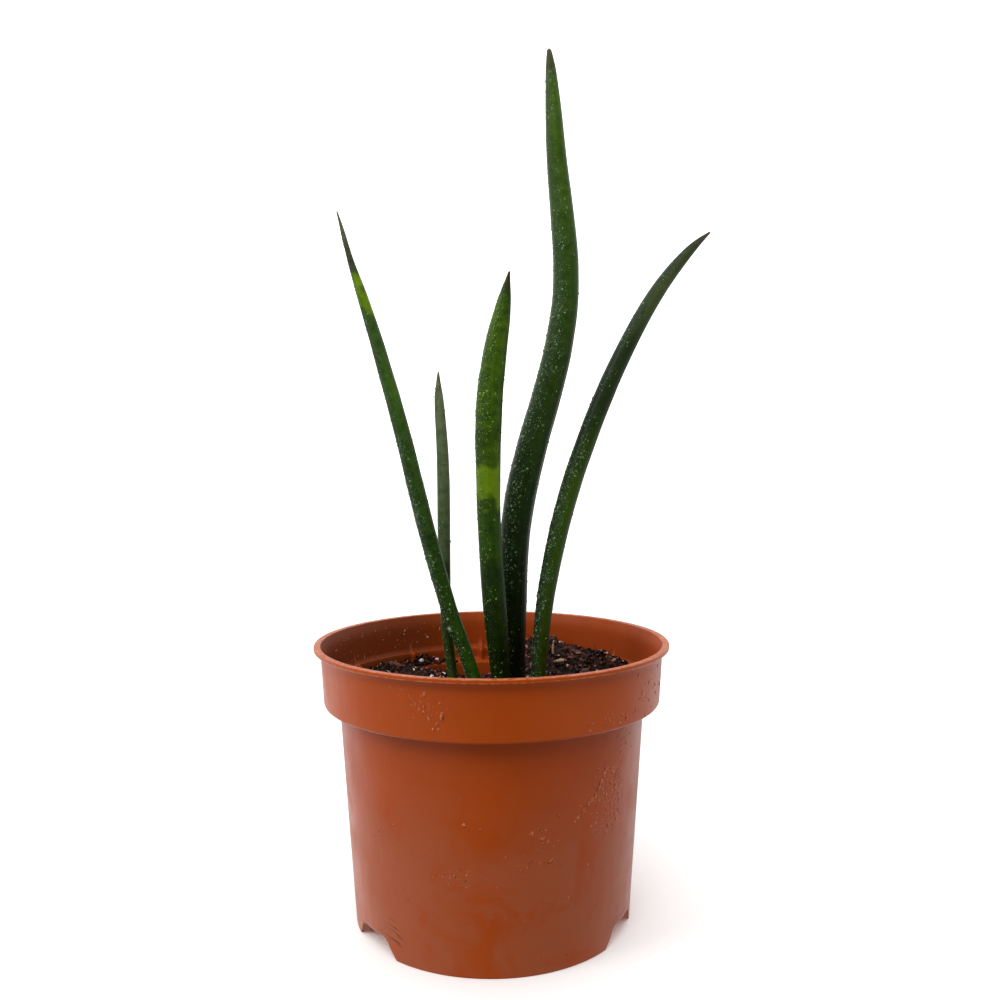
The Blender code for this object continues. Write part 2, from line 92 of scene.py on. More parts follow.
LEAVES = ("leaf_left_outer", "leaf_left_small", "leaf_centre_front", "leaf_centre_tall", "leaf_right")


# ------------------------------------------------------------------ small helpers

def smooth_step(value, low, high):
    """0 below low, 1 above high, and a smooth rise between them. It takes numbers or arrays."""
    t = np.clip((value - low) / (high - low), 0, 1)
    return t * t * (3 - 2 * t)


def linked(name, data):
    """A new object in the scene."""
    thing = bpy.data.objects.new(name, data)
    bpy.context.scene.collection.objects.link(thing)
    return thing


@contextmanager
def editing(mesh):
    """The mesh as a bmesh to change, written back at the end."""
    bm = bmesh.new()
    bm.from_mesh(mesh)
    yield bm
    bm.to_mesh(mesh)
    bm.free()


def new_piece(name, verts, faces, finish, stands_for=(), smooth=True):
    """A mesh object of the plant that rides on the one body."""
    mesh = bpy.data.meshes.new(name)
    mesh.from_pydata([tuple(v) for v in verts], [], [tuple(f) for f in faces])
    mesh.validate()
    if smooth:
        mesh.shade_smooth()
    mesh.materials.append(finish)
    piece = linked(name, mesh)
    settle(piece, stands_for)
    return piece


def settle(piece, stands_for=()):
    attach(piece, "root")
    if stands_for:
        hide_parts(*stands_for)


def grid_faces(rows, columns):
    """Quads between the rows of a grid of points, each row closed into a ring."""
    faces = []
    for i in range(0, (rows - 1) * columns, columns):
        for j in range(columns):
            k = (j + 1) % columns
            faces.append((i + j, i + k, i + columns + k, i + columns + j))
    return faces


def arc(centre_r, centre_z, radius, start_deg, end_deg, steps):
    """Points round part of a circle, as (r, z)."""
    turns = np.radians(np.linspace(start_deg, end_deg, steps + 1))
    return [(centre_r + radius * math.cos(a), centre_z + radius * math.sin(a)) for a in turns]


def on_pot(turn_deg, radius, z=0.0):
    """The point at a direction, a radius and a height in millimetres from the pot's axis on the ground."""
    turn = math.radians(turn_deg)
    return AXIS + Vector((math.cos(turn) * radius, math.sin(turn) * radius, z)) * MM


def apart(turn_deg, middle_deg):
    """How far two directions are apart, in degrees. It takes numbers or arrays."""
    return abs((turn_deg - middle_deg + 180) % 360 - 180)


def fill_between(points, spacing):
    """The (r, z) polyline with extra points so that no step is longer than the spacing."""
    full = [points[0]]
    for (r0, z0), (r1, z1) in zip(points, points[1:]):
        steps = max(1, math.ceil(math.hypot(r1 - r0, z1 - z0) / spacing))
        full += [(r0 + (r1 - r0) * i / steps, z0 + (z1 - z0) * i / steps) for i in range(1, steps + 1)]
    return full


# ------------------------------------------------------------------ materials

class Nodes:
    """A short way to write the node tree of a material or a world."""

    def __init__(self, name, kind="materials", shader="Principled BSDF"):
        self.owner = getattr(bpy.data, kind).new(name)
        self.owner.use_nodes = True
        self.tree = self.owner.node_tree
        self.shader = self.tree.nodes[shader]

    def add(self, kind, inputs=None, **settings):
        node = self.tree.nodes.new(kind)
        for key, value in settings.items():
            setattr(node, key, value)
        for key, value in (inputs or {}).items():
            self.feed(node.inputs[key], value)
        return node

    def feed(self, socket, value):
        if isinstance(value, bpy.types.NodeSocket):
            self.tree.links.new(value, socket)
        else:
            socket.default_value = value

    def object_coordinates(self):
        return self.add("ShaderNodeTexCoord").outputs["Object"]

    def attribute(self, name, output):
        return self.add("ShaderNodeAttribute", attribute_name=name).outputs[output]

    def stretch(self, vector, scale):
        return self.add("ShaderNodeMapping", {"Vector": vector, "Scale": scale}).outputs["Vector"]

    def part(self, vector, axis):
        return self.add("ShaderNodeSeparateXYZ", {"Vector": vector}).outputs[axis]

    def vectors(self, operation, a, b=(0.0, 0.0, 0.0)):
        return self.add("ShaderNodeVectorMath", {0: a, 1: b}, operation=operation).outputs["Vector"]

    def measure(self, operation, a, b):
        """A number from two vectors, such as a distance or a dot product."""
        return self.add("ShaderNodeVectorMath", {0: a, 1: b}, operation=operation).outputs["Value"]

    def outward(self, vector):
        """The level direction away from the upright line through the vector's origin."""
        return self.vectors("NORMALIZE", self.vectors("MULTIPLY", vector, (1.0, 1.0, 0.0)))

    def noise(self, vector, scale, detail=4.0, roughness=0.55, distortion=0.0):
        inputs = {"Vector": vector, "Scale": scale, "Detail": detail}
        inputs |= {"Roughness": roughness, "Distortion": distortion}
        return self.add("ShaderNodeTexNoise", inputs).outputs["Fac"]

    def cells(self, vector, scale, output="Distance"):
        return self.add("ShaderNodeTexVoronoi", {"Vector": vector, "Scale": scale}).outputs[output]

    def spread(self, value, low, high, to_low=0.0, to_high=1.0):
        """The value mapped from one range onto another, held at both ends."""
        inputs = {"Value": value, "From Min": low, "From Max": high, "To Min": to_low, "To Max": to_high}
        return self.add("ShaderNodeMapRange", inputs, interpolation_type="SMOOTHSTEP").outputs["Result"]

    def maths(self, operation, a, b=0.0, c=0.0):
        return self.add("ShaderNodeMath", {0: a, 1: b, 2: c}, operation=operation).outputs[0]

    def both(self, *shares):
        """The shares from 0 to 1 multiplied together."""
        product = shares[0]
        for share in shares[1:]:
            product = self.maths("MULTIPLY", product, share)
        return product

    def mix(self, share, a, b, blend="MIX"):
        made = self.add("ShaderNodeMix", data_type="RGBA", blend_type=blend)
        self.feed(made.inputs["Factor"], share)
        self.feed(made.inputs["A"], a)
        self.feed(made.inputs["B"], b)
        return made.outputs["Result"]

    def ramp(self, value, stops):
        """Colours along a value, as (place, colour) stops."""
        made = self.add("ShaderNodeValToRGB", {"Fac": value})
        elements = made.color_ramp.elements
        while len(elements) < len(stops):
            elements.new(0.5)
        for element, (place, colour) in zip(elements, stops):
            element.position = place
            element.color = colour
        return made.outputs["Color"]

    def bump(self, height, distance, strength=1.0, below=None):
        inputs = {"Height": height, "Distance": distance, "Strength": strength}
        if below is not None:
            inputs["Normal"] = below
        return self.add("ShaderNodeBump", inputs).outputs["Normal"]

    def finish(self, **sockets):
        for key, value in sockets.items():
            label = key.replace("_", " ").title().replace("Ior", "IOR")
            self.feed(self.shader.inputs[label], value)
        return self.owner


def rgb(red, green, blue):
    """A display colour of 0 to 255 as the linear colour that a shader takes."""
    return (*(math.pow(value / 255, 2.2) for value in (red, green, blue)), 1.0)


# The scratched places beside the two front notches, and the tilt of the scratches there, in degrees
SCRATCHED = ((on_pot(-132, 47.2, 8), 17), (on_pot(-31, 47.2, 8), -24))
SCRATCH_STRETCH = 14.0


def pot_material():
    n = Nodes("pot_plastic")
    where = n.object_coordinates()
    height = n.part(where, "Z")
    outward = n.outward(n.vectors("SUBTRACT", where, (AXIS.x, AXIS.y, 0.0)))
    facing = n.measure("DOT_PRODUCT", outward, n.add("ShaderNodeNewGeometry").outputs["Normal"])
    inside = n.spread(facing, -0.3, -0.7)
    broad = n.spread(n.noise(where, 22.0, detail=3), 0.3, 0.7)
    base = n.mix(broad, rgb(158, 65, 6), rgb(150, 60, 8))
    # dried water marks, pinker and duller, mostly low down
    marks = n.noise(where, 45.0, detail=6, roughness=0.62, distortion=0.6)
    low = n.spread(height, 66 * MM, 30 * MM)
    marked = n.both(n.spread(marks, 0.33, 0.56), n.maths("MULTIPLY_ADD", low, 0.86, 0.10))
    base = n.mix(marked, base, rgb(152, 75, 43))
    for spot, tilt in SCRATCHED:
        base = n.mix(scratches(n, where, spot, tilt), base, rgb(64, 24, 13))
    # the collar's outside is clean of marks, and painted a little lighter than the body as painted light
    collar = n.spread(height, SHOULDER * MM, (SHOULDER + 1) * MM)
    clean_lit_collar = n.both(n.spread(facing, 0.2, 0.5), collar)
    base = n.mix(clean_lit_collar, base, n.mix(broad, rgb(166, 70, 5), rgb(158, 65, 8)))
    # painted shade inside, on the left: the inner wall there is painted darker brown, where less light falls
    painted_shade_inside_left = n.both(inside, n.spread(n.part(outward, "X"), -0.05, -0.60))
    base = n.mix(painted_shade_inside_left, base, rgb(116, 50, 9))
    # painted highlight lines along the lip's edges
    base = n.mix(n.both(lip_edge_highlights(n, where, height, facing), 0.50), base, rgb(212, 134, 94))
    # a few specks of compost
    specks = n.spread(n.cells(where, 190.0), 0.055, 0.035)
    chosen = n.spread(n.noise(where, 60.0, detail=1), 0.66, 0.70)
    base = n.mix(n.both(specks, chosen), base, rgb(70, 30, 18))
    gloss = n.spread(n.noise(where, 70.0, detail=5, roughness=0.6), 0.3, 0.75, 0.30, 0.42)
    gloss = n.maths("ADD", gloss, n.both(marked, 0.10))
    gloss = n.maths("ADD", gloss, n.both(inside, 0.20))
    waves = n.noise(n.stretch(where, (1.0, 1.0, 0.6)), 60.0, detail=3)
    normal = n.bump(waves, 0.7 * MM, 0.5)
    normal = n.bump(marks, 0.12 * MM, 0.5, below=normal)
    normal = n.bump(n.noise(where, 1400.0, detail=2), 0.02 * MM, 0.4, below=normal)
    return n.finish(base_color=base, roughness=gloss, specular_ior_level=0.17, normal=normal)


def scratches(n, where, spot, tilt):
    """Dark, dirty scratches round a place: streaks of noise drawn out sideways and tilted."""
    long = SCRATCH_STRETCH
    turned = {"Vector": where, "Rotation": (0.0, math.radians(tilt), 0.0), "Scale": (long, long, 1.0)}
    along = n.add("ShaderNodeMapping", turned, vector_type="TEXTURE").outputs["Vector"]
    streaks = n.spread(n.noise(along, 1700.0, detail=2), 0.59, 0.62)
    near = n.spread(n.measure("DISTANCE", where, spot), 6.5 * MM, 3.5 * MM)
    return n.both(streaks, near, 0.75)


def lip_edge_highlights(n, where, height, facing):
    """Painted highlight lines along the lip's upper edge and its lower outer edge: pale, broken into patches.
    """
    under = POT_HEIGHT - LIP_THICKNESS * MM
    lower = n.both(
        n.spread(height, under, under + 0.05 * MM),
        n.spread(height, under + 0.5 * MM, under + 0.25 * MM),
        n.spread(facing, 0.0, 0.5),
    )
    upper = n.spread(height, POT_HEIGHT - 0.35 * MM, POT_HEIGHT - 0.02 * MM)
    patches = n.spread(n.noise(where, 700.0, detail=6, roughness=0.65), 0.36, 0.66)
    return n.both(n.maths("MAXIMUM", upper, lower), patches)


def dew_material(name, dark, light, shine=0.5):
    """Small drops: they show the colour of what they sit on, a little lighter, under a sharp gloss."""
    n = Nodes(name)
    where = n.object_coordinates()
    base = n.mix(n.spread(n.noise(where, 900.0, detail=3), 0.38, 0.62), dark, light)
    normal = n.bump(n.noise(where, 2600.0, detail=2), 0.05 * MM, 0.3)
    return n.finish(base_color=base, roughness=0.10, specular_ior_level=shine, normal=normal)


def mix_material():
    n = Nodes("potting_mix")
    where = n.object_coordinates()
    fine = n.noise(where, 520.0, detail=7, roughness=0.7)
    grains = n.cells(where, 700.0, output="Color")
    base = n.ramp(n.mix(0.5, fine, grains), [
        (0.25, rgb(10, 4, 3)),
        (0.48, rgb(26, 12, 8)),
        (0.62, rgb(50, 24, 15)),
        (0.80, rgb(96, 54, 36)),
    ])
    gloss = n.spread(fine, 0.3, 0.7, 0.95, 0.6)
    normal = n.bump(fine, 1.0 * MM, 0.9)
    return n.finish(base_color=base, roughness=gloss, specular_ior_level=0.15, normal=normal)


def tinted_material(name, roughness, grain, depth):
    """For loose bits: each face's colour is in the attribute "tint", broken up by fine noise."""
    n = Nodes(name)
    fine = n.noise(n.object_coordinates(), grain, detail=5, roughness=0.65)
    shade = n.spread(fine, 0.3, 0.72, 0.45, 1.25)
    grey = n.add("ShaderNodeCombineColor", {"Red": shade, "Green": shade, "Blue": shade}).outputs["Color"]
    base = n.mix(1.0, n.attribute("tint", "Color"), grey, blend="MULTIPLY")
    normal = n.bump(fine, depth, 0.8)
    return n.finish(base_color=base, roughness=roughness, specular_ior_level=0.18, normal=normal)


def woody_material(name, dark, light, grain, scale):
    """Lines of noise, drawn out along the axis that has the smallest scale in the grain."""
    n = Nodes(name)
    where = n.stretch(n.object_coordinates(), grain)
    lines = n.noise(where, scale, detail=6, roughness=0.65, distortion=0.4)
    base = n.mix(n.spread(lines, 0.3, 0.7), dark, light)
    return n.finish(base_color=base, roughness=0.85, normal=n.bump(lines, 0.4 * MM, 0.7))


LEAF_LOOKS = {
    # stops up the leaf: share of its height above the mix, darker and lighter display colour
    "leaf_left_outer": [
        (0.00, (22, 46, 2), (48, 82, 10)),
        (0.22, (16, 36, 4), (42, 72, 14)),
        (0.50, (26, 48, 10), (58, 86, 34)),
        (0.63, (36, 62, 10), (72, 104, 34)),
        (0.68, (28, 50, 12), (60, 86, 40)),
        (0.790, (34, 58, 14), (70, 98, 40)),
        (0.806, (76, 108, 2), (112, 146, 12)),
        (0.836, (76, 106, 4), (112, 142, 18)),
        (0.854, (34, 42, 20), (66, 78, 46)),
        (1.00, (56, 52, 44), (112, 106, 92)),
    ],
    "leaf_left_small": [
        (0.00, (24, 38, 8), (50, 68, 26)),
        (0.30, (30, 44, 12), (58, 78, 36)),
        (0.40, (50, 64, 34), (88, 104, 70)),
        (0.72, (62, 75, 44), (102, 116, 82)),
        (0.93, (72, 81, 52), (116, 125, 94)),
        (1.00, (66, 54, 34), (104, 94, 68)),
    ],
    "leaf_centre_front": [
        (0.00, (6, 18, 0), (22, 40, 2)),
        (0.22, (14, 34, 0), (36, 60, 4)),
        (0.34, (28, 50, 0), (54, 82, 4)),
        (0.412, (26, 46, 0), (48, 74, 2)),
        (0.434, (80, 108, 0), (102, 132, 2)),
        (0.515, (80, 108, 0), (106, 134, 4)),
        (0.548, (38, 60, 0), (70, 98, 4)),
        (0.580, (22, 38, 0), (60, 84, 6)),
        (0.66, (30, 54, 0), (68, 96, 8)),
        (0.88, (38, 62, 0), (76, 104, 16)),
        (0.965, (28, 44, 2), (54, 74, 12)),
        (1.00, (38, 30, 14), (66, 58, 30)),
    ],
    "leaf_centre_tall": [
        (0.00, (3, 10, 1), (12, 24, 6)),
        (0.20, (10, 24, 2), (26, 44, 8)),
        (0.42, (23, 42, 5), (46, 67, 19)),
        (0.62, (29, 51, 6), (56, 80, 23)),
        (0.80, (34, 56, 3), (66, 94, 21)),
        (0.93, (41, 65, 3), (75, 105, 23)),
        (0.985, (44, 50, 22), (72, 80, 40)),
        (1.00, (58, 48, 34), (90, 80, 60)),
    ],
    "leaf_right": [
        (0.00, (16, 28, 0), (38, 54, 0)),
        (0.20, (24, 44, 0), (46, 70, 0)),
        (0.42, (26, 44, 0), (52, 74, 6)),
        (0.58, (16, 28, 4), (34, 48, 18)),
        (0.75, (22, 34, 12), (40, 54, 24)),
        (0.86, (40, 50, 26), (70, 82, 48)),
        (0.96, (36, 42, 24), (60, 66, 44)),
        (1.00, (46, 40, 30), (84, 76, 60)),
    ],
}


def leaf_material(name):
    """Waxy leaf: tones change up the leaf, with faint cross bands, long fibres and a fine mist of water."""
    n = Nodes(name)
    straight = n.attribute("straight", "Vector")
    soft = n.noise(straight, 90.0, detail=3)
    # from 0 at the mix to 1 at the leaf's top, with a wavy edge to each band
    height = n.maths("ADD", n.part(n.object_coordinates(), "Z"), n.spread(soft, 0.2, 0.8, -6 * MM, 6 * MM))
    foot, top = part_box("potting_mix")[1].z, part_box(name)[1].z
    up = n.add("ShaderNodeMapRange", {"Value": height, "From Min": foot, "From Max": top}).outputs["Result"]
    dark = n.ramp(up, [(place, rgb(*tone)) for place, tone, _ in LEAF_LOOKS[name]])
    light = n.ramp(up, [(place, rgb(*tone)) for place, _, tone in LEAF_LOOKS[name]])
    fibres = n.noise(n.stretch(straight, (1.0, 1.0, 0.05)), 900.0, detail=4)
    bands = n.noise(n.stretch(straight, (0.25, 0.25, 1.0)), 170.0, detail=4, roughness=0.6, distortion=0.5)
    mottle = n.noise(straight, 420.0, detail=5, roughness=0.6)
    pattern = n.mix(0.5, n.mix(0.55, fibres, bands), mottle)
    # painted shade and light across the leaf: the misted side, which faces left and forward, is painted a
    # little darker and the other side lighter, under a greyer veil of painted sheen
    misted = (math.cos(MISTED_TURN), math.sin(MISTED_TURN), 0.0)
    facing = n.measure("DOT_PRODUCT", n.outward(straight), misted)
    facing = n.spread(n.maths("MULTIPLY_ADD", soft, 0.5, facing), 0.70, 1.20)
    shade = MISTED_SIDE_PAINTED_SHADE.get(name, USUAL_PAINTED_SHADE)
    pattern = n.maths("SUBTRACT", pattern, n.maths("MULTIPLY_ADD", facing, shade, -0.5 * shade))
    base = n.mix(n.spread(pattern, 0.30, 0.70), dark, light)
    base = n.mix(n.both(facing, PAINTED_SHEEN_VEIL[LEAF_SLOTS[name]]), base, rgb(86, 106, 74))
    # very fine droplets
    specks = n.spread(n.cells(straight, 1700.0), 0.24, 0.12)
    patches = n.spread(n.noise(straight, 150.0, detail=2), 0.36, 0.60)
    wet = n.both(specks, n.both(patches, n.maths("MULTIPLY_ADD", facing, 0.85, 0.15)))
    base = n.mix(n.both(wet, 0.50), base, rgb(104, 138, 84))
    gloss = n.maths("SUBTRACT", n.spread(mottle, 0.3, 0.7, 0.36, 0.48), n.both(wet, 0.25))
    normal = n.bump(fibres, 0.06 * MM, 0.35)
    normal = n.bump(mottle, 0.12 * MM, 0.4, below=normal)
    normal = n.bump(wet, 0.10 * MM, 0.9, below=normal)
    return n.finish(base_color=base, roughness=gloss, specular_ior_level=0.13, normal=normal)


# ------------------------------------------------------------------ pot

def body_radius(z):
    return BODY_FOOT_RADIUS + (BODY_TOP_RADIUS - BODY_FOOT_RADIUS) * z / SHOULDER


def collar_inside(z):
    share = (z - MOULD_LINE) / (POT_HEIGHT / MM - MOULD_LINE)
    foot = COLLAR_FOOT_RADIUS - WALL + 0.3
    return foot + (COLLAR_TOP_RADIUS - WALL - foot) * share


def inside_profile():
    """From the floor's middle up the inside to under the lip."""
    step = body_radius(LEDGE - 1) - WALL
    foot = body_radius(FLOOR_TOP + 2) - WALL
    collar = COLLAR_FOOT_RADIUS - WALL - 0.2
    points = [(0.6, FLOOR_TOP)]
    points += arc(foot - 2, FLOOR_TOP + 2, 2, -90, 0, 6)
    points += arc(step + 1, LEDGE - 1, 1, 180, 90, 5)
    points += arc(collar - 1.2, LEDGE + 1.2, 1.2, -90, 0, 5)
    points += arc(collar + 0.3, MOULD_LINE - 0.3, 0.3, 180, 90, 2)
    points += [(collar_inside(MOULD_LINE), MOULD_LINE + 0.02)]
    points += [(collar_inside(POT_HEIGHT / MM - 4), POT_HEIGHT / MM - 4)]
    return points


def outside_profile():
    """From the lip down the outside to the foot's outer edge."""
    top = POT_HEIGHT / MM
    rim = RIM_RADIUS / MM
    under = top - LIP_THICKNESS
    points = [(COLLAR_TOP_RADIUS - WALL + 0.25, top - 2.4)]
    points += arc(rim - LIP_WIDTH + 0.45, top - 0.45, 0.45, 160, 90, 6)
    points += arc(rim - LIP_ROUND, top - LIP_ROUND, LIP_ROUND, 90, 0, 5)
    points += arc(rim - LIP_ROUND, under + LIP_ROUND, LIP_ROUND, 0, -90, 5)
    points += [(COLLAR_TOP_RADIUS + 0.15, under), (COLLAR_TOP_RADIUS, under - 0.15)]
    edge = COLLAR_FOOT_RADIUS - SHOULDER_ROUND
    points += arc(edge, SHOULDER + SHOULDER_ROUND, SHOULDER_ROUND, 0, -90, 8)
    points += arc(BODY_TOP_RADIUS + 0.8, SHOULDER - 0.8, 0.8, 90, 180, 5)
    return points


def notch_depth(turn_deg):
    """How far a notch lifts the skirt's lower edge, by direction round the pot: an array in millimetres."""
    depth = np.zeros_like(turn_deg)
    for middle in NOTCH_DEG:
        across = np.radians(apart(turn_deg, middle)) * BODY_FOOT_RADIUS
        depth = np.maximum(depth, np.interp(across, NOTCH_ACROSS, NOTCH_LIFT))
    return depth


def turns_of_interest():
    """Directions round the pot in degrees: even steps, and closer ones at the ribs and notches."""
    turns = list(np.arange(0, 360, 1.25))
    for middle in RIB_DEG:
        for step in (0.3, 0.5, 0.65, 0.85, 1.1):
            turns += [middle + np.degrees(side * step / RIB_CIRCLE) for side in (-1, 1)]
    for middle in NOTCH_DEG:
        for step in np.arange(4.8, 12.4, 0.28):
            turns += [middle + side * np.degrees(step / BODY_FOOT_RADIUS) for side in (-1, 1)]
    turns = np.sort(np.array(turns) % 360)
    keep = np.concatenate([[True], np.diff(turns) > 0.12])
    return turns[keep]


def rib_share(turn_deg):
    """1 on a rib's ridge, 0 away from it."""
    away = np.min([apart(turn_deg, middle) for middle in RIB_DEG], axis=0)
    return 1 - smooth_step(np.radians(away) * RIB_CIRCLE, 0.42, 0.95)


def inside_rings(turns):
    """The floor and the inside wall, with the ribs standing in from the collar, as (radius, height)."""
    ribs = rib_share(turns)
    step = body_radius(LEDGE - 1) - WALL + 1
    wall = COLLAR_FOOT_RADIUS - WALL - 0.2
    rings = []
    for r, z in fill_between(inside_profile(), 2.0):
        reach = 0.0
        if LEDGE - 0.01 <= z <= RIB_TOP and r > step:
            reach = min(RIB_REACH, RIB_TOP - z) * min(1.0, (r - step) / (wall - step))
        rings.append((r - reach * ribs, z))
    return rings


def skirt_rings(turns):
    """The wall's foot with its notched lower edge, and the skirt's inside up to under the floor."""
    lift = notch_depth(turns)
    corner = 0.35 + 1.0 * smooth_step(lift, 2.5, NOTCH_HEIGHT)     # rounder over each notch
    edge = lift + corner
    rings = []
    for share in (0.75, 0.5, 0.25):
        height = edge + (SKIRT_TOP - edge) * share
        rings.append((body_radius(height), height))
    for angle in np.radians(np.linspace(0, 90, 6)):
        rings.append((body_radius(edge) - corner * (1 - np.cos(angle)), edge - corner * np.sin(angle)))
    inner = BODY_FOOT_RADIUS - SKIRT_WALL
    for angle in np.radians(np.linspace(0, 90, 4)):
        rings.append((inner + 0.5 * (1 - np.sin(angle)), lift + 0.5 * (1 - np.cos(angle))))
    for share in (0.35, 0.7):
        rings.append((inner + 0.1, lift + 0.5 + (FLOOR_UNDER - 1.7 - lift) * share))
    rings += arc(inner - 1.2, FLOOR_UNDER - 1.2, 1.2, 0, 90, 4)
    return rings + [(20.0, FLOOR_UNDER), (0.6, FLOOR_UNDER)]


def make_pot():
    turns = turns_of_interest()
    around = np.radians(turns)
    rings = inside_rings(turns) + fill_between(outside_profile(), 2.2)
    rings += [(body_radius(z), z) for z in np.linspace(SHOULDER - 2.5, SKIRT_TOP, 26)]
    rings += skirt_rings(turns)
    verts = []
    for radius, height in rings:
        x = AXIS.x + radius * MM * np.cos(around)
        y = AXIS.y + radius * MM * np.sin(around)
        verts += list(zip(x, y, height * MM + 0 * turns))
    count = len(turns)
    faces = [face[::-1] for face in grid_faces(len(rings), count)]
    last = (len(rings) - 1) * count
    faces += [tuple(range(count)), tuple(reversed(range(last, last + count)))]
    pot = new_piece("nursery_pot", verts, faces, pot_material(), ["pot"])
    tidy_normals(pot)
    cut_drains(pot)


def tidy_normals(piece):
    with editing(piece.data) as bm:
        bmesh.ops.recalc_face_normals(bm, faces=bm.faces)


def cut_drains(pot):
    mesh = bpy.data.meshes.new("drains")
    size = {"radius1": DRAIN_RADIUS * MM, "radius2": DRAIN_RADIUS * MM, "depth": DRAIN_DEPTH * MM}
    with editing(mesh) as bm:
        for turn_deg in DRAIN_DEG:
            place = Matrix.Translation(on_pot(turn_deg, DRAIN_CIRCLE, FLOOR_TOP))
            bmesh.ops.create_cone(bm, cap_ends=True, segments=32, matrix=place, **size)
    cutter = linked("drains", mesh)
    cut = pot.modifiers.new("drains", "BOOLEAN")
    cut.operation = "DIFFERENCE"
    cut.object = cutter
    apply_modifiers(pot)
    bpy.data.objects.remove(cutter, do_unlink=True)


def apply_modifiers(piece):
    bpy.context.view_layer.update()
    evaluated = piece.evaluated_get(bpy.context.evaluated_depsgraph_get())
    mesh = bpy.data.meshes.new_from_object(evaluated)
    piece.modifiers.clear()
    piece.data = mesh


# ------------------------------------------------------------------ leaves

LEAF_SECTIONS = 150
LEAF_COLUMNS = 72
LEAF_FACETS = 12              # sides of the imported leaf's section


def leaf_sections(name):
    """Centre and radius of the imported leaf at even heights, read from cuts across its mesh."""
    mesh = NODES[name].data
    points = np.array([v.co for v in mesh.vertices])
    edges = np.array([e.vertices for e in mesh.edges])
    low, high = points[:, 2].min(), points[:, 2].max()
    a, b = points[edges[:, 0]], points[edges[:, 1]]
    levels = low + (high - low) * np.linspace(0.004, 0.996, LEAF_SECTIONS)
    centres, areas = [], []
    for z in levels:
        crossing = (a[:, 2] - z) * (b[:, 2] - z) < 0
        start, end = a[crossing], b[crossing]
        share = ((z - start[:, 2]) / (end[:, 2] - start[:, 2]))[:, None]
        cut = (start + (end - start) * share)[:, :2]
        middle = (cut.min(0) + cut.max(0)) / 2
        order = np.argsort(np.arctan2(*(cut - middle).T[::-1]))
        x, y = cut[order].T
        areas.append(0.5 * abs(np.dot(x, np.roll(y, -1)) - np.dot(y, np.roll(x, -1))))
        centres.append((*middle, z))
    centres = np.array(centres)
    along = unit(np.gradient(centres, axis=0))
    round_share = LEAF_FACETS / 2 * math.sin(math.tau / LEAF_FACETS) / math.pi
    radii = np.sqrt(np.array(areas) * along[:, 2] / math.pi / round_share)
    return centres, radii


def unit(rows):
    return rows / np.linalg.norm(rows, axis=1)[:, None]


def smoothed(values, passes):
    values = values.copy()
    for _ in range(passes):
        values[1:-1] = (values[:-2] + 2 * values[1:-1] + values[2:]) / 4
    return values


class Leaf:
    """A leaf's fine surface: any point of it from a place along the leaf and a turn round it."""

    def __init__(self, name, seed):
        centres, radii = leaf_sections(name)
        self.name = name
        self.centres = smoothed(centres, 6)
        self.radii = smoothed(radii, 4)
        self.along = unit(np.gradient(self.centres, axis=0))
        steps = np.linalg.norm(np.diff(self.centres, axis=0), axis=1)
        self.length = np.concatenate([[0], np.cumsum(steps)])
        self.side = unit(np.cross(self.along, (0.0, 1.0, 0.0)))
        self.front = np.cross(self.along, self.side)
        dice = random.Random(seed)
        self.grooves = [(dice.uniform(0, math.tau), dice.uniform(0.10, 0.17)) for _ in range(9)]
        self.phase = dice.uniform(0, 9)

    def radius(self, i, turn):
        """Radius at section i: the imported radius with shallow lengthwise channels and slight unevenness."""
        depth = 0.0
        for where, width in self.grooves:
            off = (turn - where + math.pi) % math.tau - math.pi
            depth = depth + 0.014 * np.exp(-((off / width) ** 2))
        far = self.length[i] / MM
        uneven = 0.012 * math.sin(far / 7.0 + self.phase) + 0.008 * math.sin(far / 2.9 + 2 * self.phase)
        return self.radii[i] * (0.995 - depth + uneven * np.cos(turn + far / 40))

    def point(self, place, turn):
        """The surface point and its outward direction at a place between the sections."""
        i = int(place)
        share = place - i
        spots = []
        for k in (i, i + 1):
            out = math.cos(turn) * self.side[k] + math.sin(turn) * self.front[k]
            spots.append((self.centres[k] + self.radius(k, turn) * out, out))
        spot, out = ((1 - share) * a + share * b for a, b in zip(*spots))
        return spot, out


def make_leaf(leaf):
    turns = np.linspace(0, math.tau, LEAF_COLUMNS, endpoint=False)
    verts, straight = [], []
    for i, centre in enumerate(leaf.centres):
        r = leaf.radius(i, turns)
        across, away = r * np.cos(turns), r * np.sin(turns)
        verts += list(centre + across[:, None] * leaf.side[i] + away[:, None] * leaf.front[i])
        straight += list(np.stack([across, away, np.full(LEAF_COLUMNS, leaf.length[i])], axis=1))
    tip = leaf.centres[-1] + leaf.along[-1] * leaf.radii[-1]
    tip[2] = min(tip[2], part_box(leaf.name)[1].z - 0.05 * MM)
    verts += [leaf.centres[0], tip]
    straight += [(0, 0, 0), (0, 0, leaf.length[-1])]
    faces = grid_faces(LEAF_SECTIONS, LEAF_COLUMNS)
    base = LEAF_SECTIONS * LEAF_COLUMNS
    last = base - LEAF_COLUMNS
    for j in range(LEAF_COLUMNS):
        k = (j + 1) % LEAF_COLUMNS
        faces += [(base, k, j), (base + 1, last + j, last + k)]
    name = leaf.name.replace("leaf", "snake_leaf")
    piece = new_piece(name, verts, faces, leaf_material(leaf.name), [leaf.name])
    layer = piece.data.attributes.new("straight", "FLOAT_VECTOR", "POINT")
    layer.data.foreach_set("vector", np.array(straight, np.float32).ravel())
    tidy_normals(piece)


LEAF_SLOTS = {name: "leaf_dark" for name in LEAVES} | {"leaf_centre_front": "leaf_bright"}

